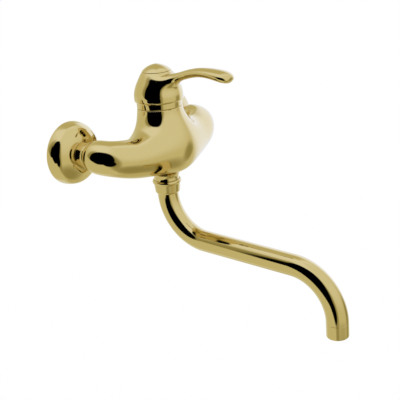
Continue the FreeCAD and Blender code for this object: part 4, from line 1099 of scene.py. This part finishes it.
    def tent_patch(self, tree: bpy.types.NodeTree, place: bpy.types.NodeSocket, below: bpy.types.NodeSocket,
                   patch: TentPatch) -> bpy.types.NodeSocket:
        """Lay one patch over the tent's colour.

        Args:
            tree: The tent's node tree.
            place: Each point's angles to the right and above.
            below: The colour under the patch.
            patch: The patch.

        Returns:
            The colour with the patch over it.
        """
        offset = add_node(tree, "ShaderNodeVectorMath", {"operation": "SUBTRACT"}, links={0: place})
        offset.inputs[1].default_value = (patch.right, patch.above, 0)
        turned = add_node(tree, "ShaderNodeVectorRotate", {"rotation_type": "Z_AXIS"},
                          {"Angle": -math.radians(patch.turn)}, {"Vector": offset.outputs[0]})
        scaled = add_node(tree, "ShaderNodeVectorMath", {"operation": "DIVIDE"},
                          links={0: turned.outputs[0]})
        scaled.inputs[1].default_value = (patch.half_wide, patch.half_high, 1)
        split = add_node(tree, "ShaderNodeSeparateXYZ", links={0: scaled.outputs[0]})
        raised = []
        for axis in (0, 1):
            size = add_node(tree, "ShaderNodeMath", {"operation": "ABSOLUTE"},
                            links={0: split.outputs[axis]})
            raised.append(add_node(tree, "ShaderNodeMath", {"operation": "POWER"}, {1: patch.power},
                                   {0: size.outputs[0]}))
        total = add_node(tree, "ShaderNodeMath", {"operation": "ADD"},
                         links={0: raised[0].outputs[0], 1: raised[1].outputs[0]})
        cover = add_node(tree, "ShaderNodeMapRange", {"interpolation_type": "SMOOTHSTEP"},
                         {"From Min": 1 + patch.softness, "From Max": 1 - patch.softness},
                         {"Value": total.outputs[0]})
        mixed = add_node(tree, "ShaderNodeMix", {"data_type": "RGBA", "label": patch.name},
                         links={"Factor": cover.outputs["Result"], 6: below})
        red, green, blue, _ = linear(patch.cloth.value)
        mixed.inputs[7].default_value = (red * patch.gain, green * patch.gain, blue * patch.gain, 1.0)
        return mixed.outputs[2]

    def tent(self) -> None:
        """Hang a graded light tent round the object that only its reflections see."""
        bpy.ops.object.select_all(action="DESELECT")
        bpy.ops.mesh.primitive_uv_sphere_add(segments=self.tent_segments, ring_count=self.tent_rings,
                                             radius=self.tent_radius, location=AXIS)
        tent = bpy.context.view_layer.objects.active
        tent.name = "studio_light_tent"
        tent.rotation_euler.z = self.azimuth
        # Thin cloth lit from behind: even where it is one piece, darker where an opening is
        material = bare_material("graded_tent_cloth")
        tree = material.node_tree
        place, share = self.tent_place(tree)
        colour = self.tent_cloth(tree, share)
        for patch in TENT_PATCHES:
            colour = self.tent_patch(tree, place, colour, patch)
        glow = add_node(tree, "ShaderNodeEmission", values={"Strength": 1.0}, links={"Color": colour})
        add_node(tree, "ShaderNodeOutputMaterial", links={"Surface": glow.outputs[0]})
        tent.data.materials.append(material)
        tent.visible_camera = False
        tent.visible_diffuse = False
        tent.visible_shadow = False

    def build(self) -> None:
        """Set up the camera and the light."""
        self.camera()
        self.world()
        self.floor()
        self.tent()
        bpy.context.scene.view_settings.view_transform = "Standard"


def dress_cad_nodes(materials: dict[Slot, bpy.types.Material]) -> None:
    """Give every CAD node the finish that the record names for it.

    Args:
        materials: Every finish's material.
    """
    for part in frame["record"]["subparts"]:
        data = frame["nodes"][part["node"]].data
        data.materials.clear()
        data.materials.append(materials[Slot(part["material_slot"])])


def main() -> None:
    """Build the mixer's visible pieces, dress everything and set up the studio."""
    logging.basicConfig(level=logging.INFO)
    materials = {slot: finish.build() for slot, finish in FINISHES.items()}
    dress_cad_nodes(materials)
    WallFittings(materials).build()
    Casting(materials).build()
    CoverRing(materials).build()
    Lever(materials).build()
    Spout(materials).build()
    Studio().build()


if __name__ == "__main__":
    main()
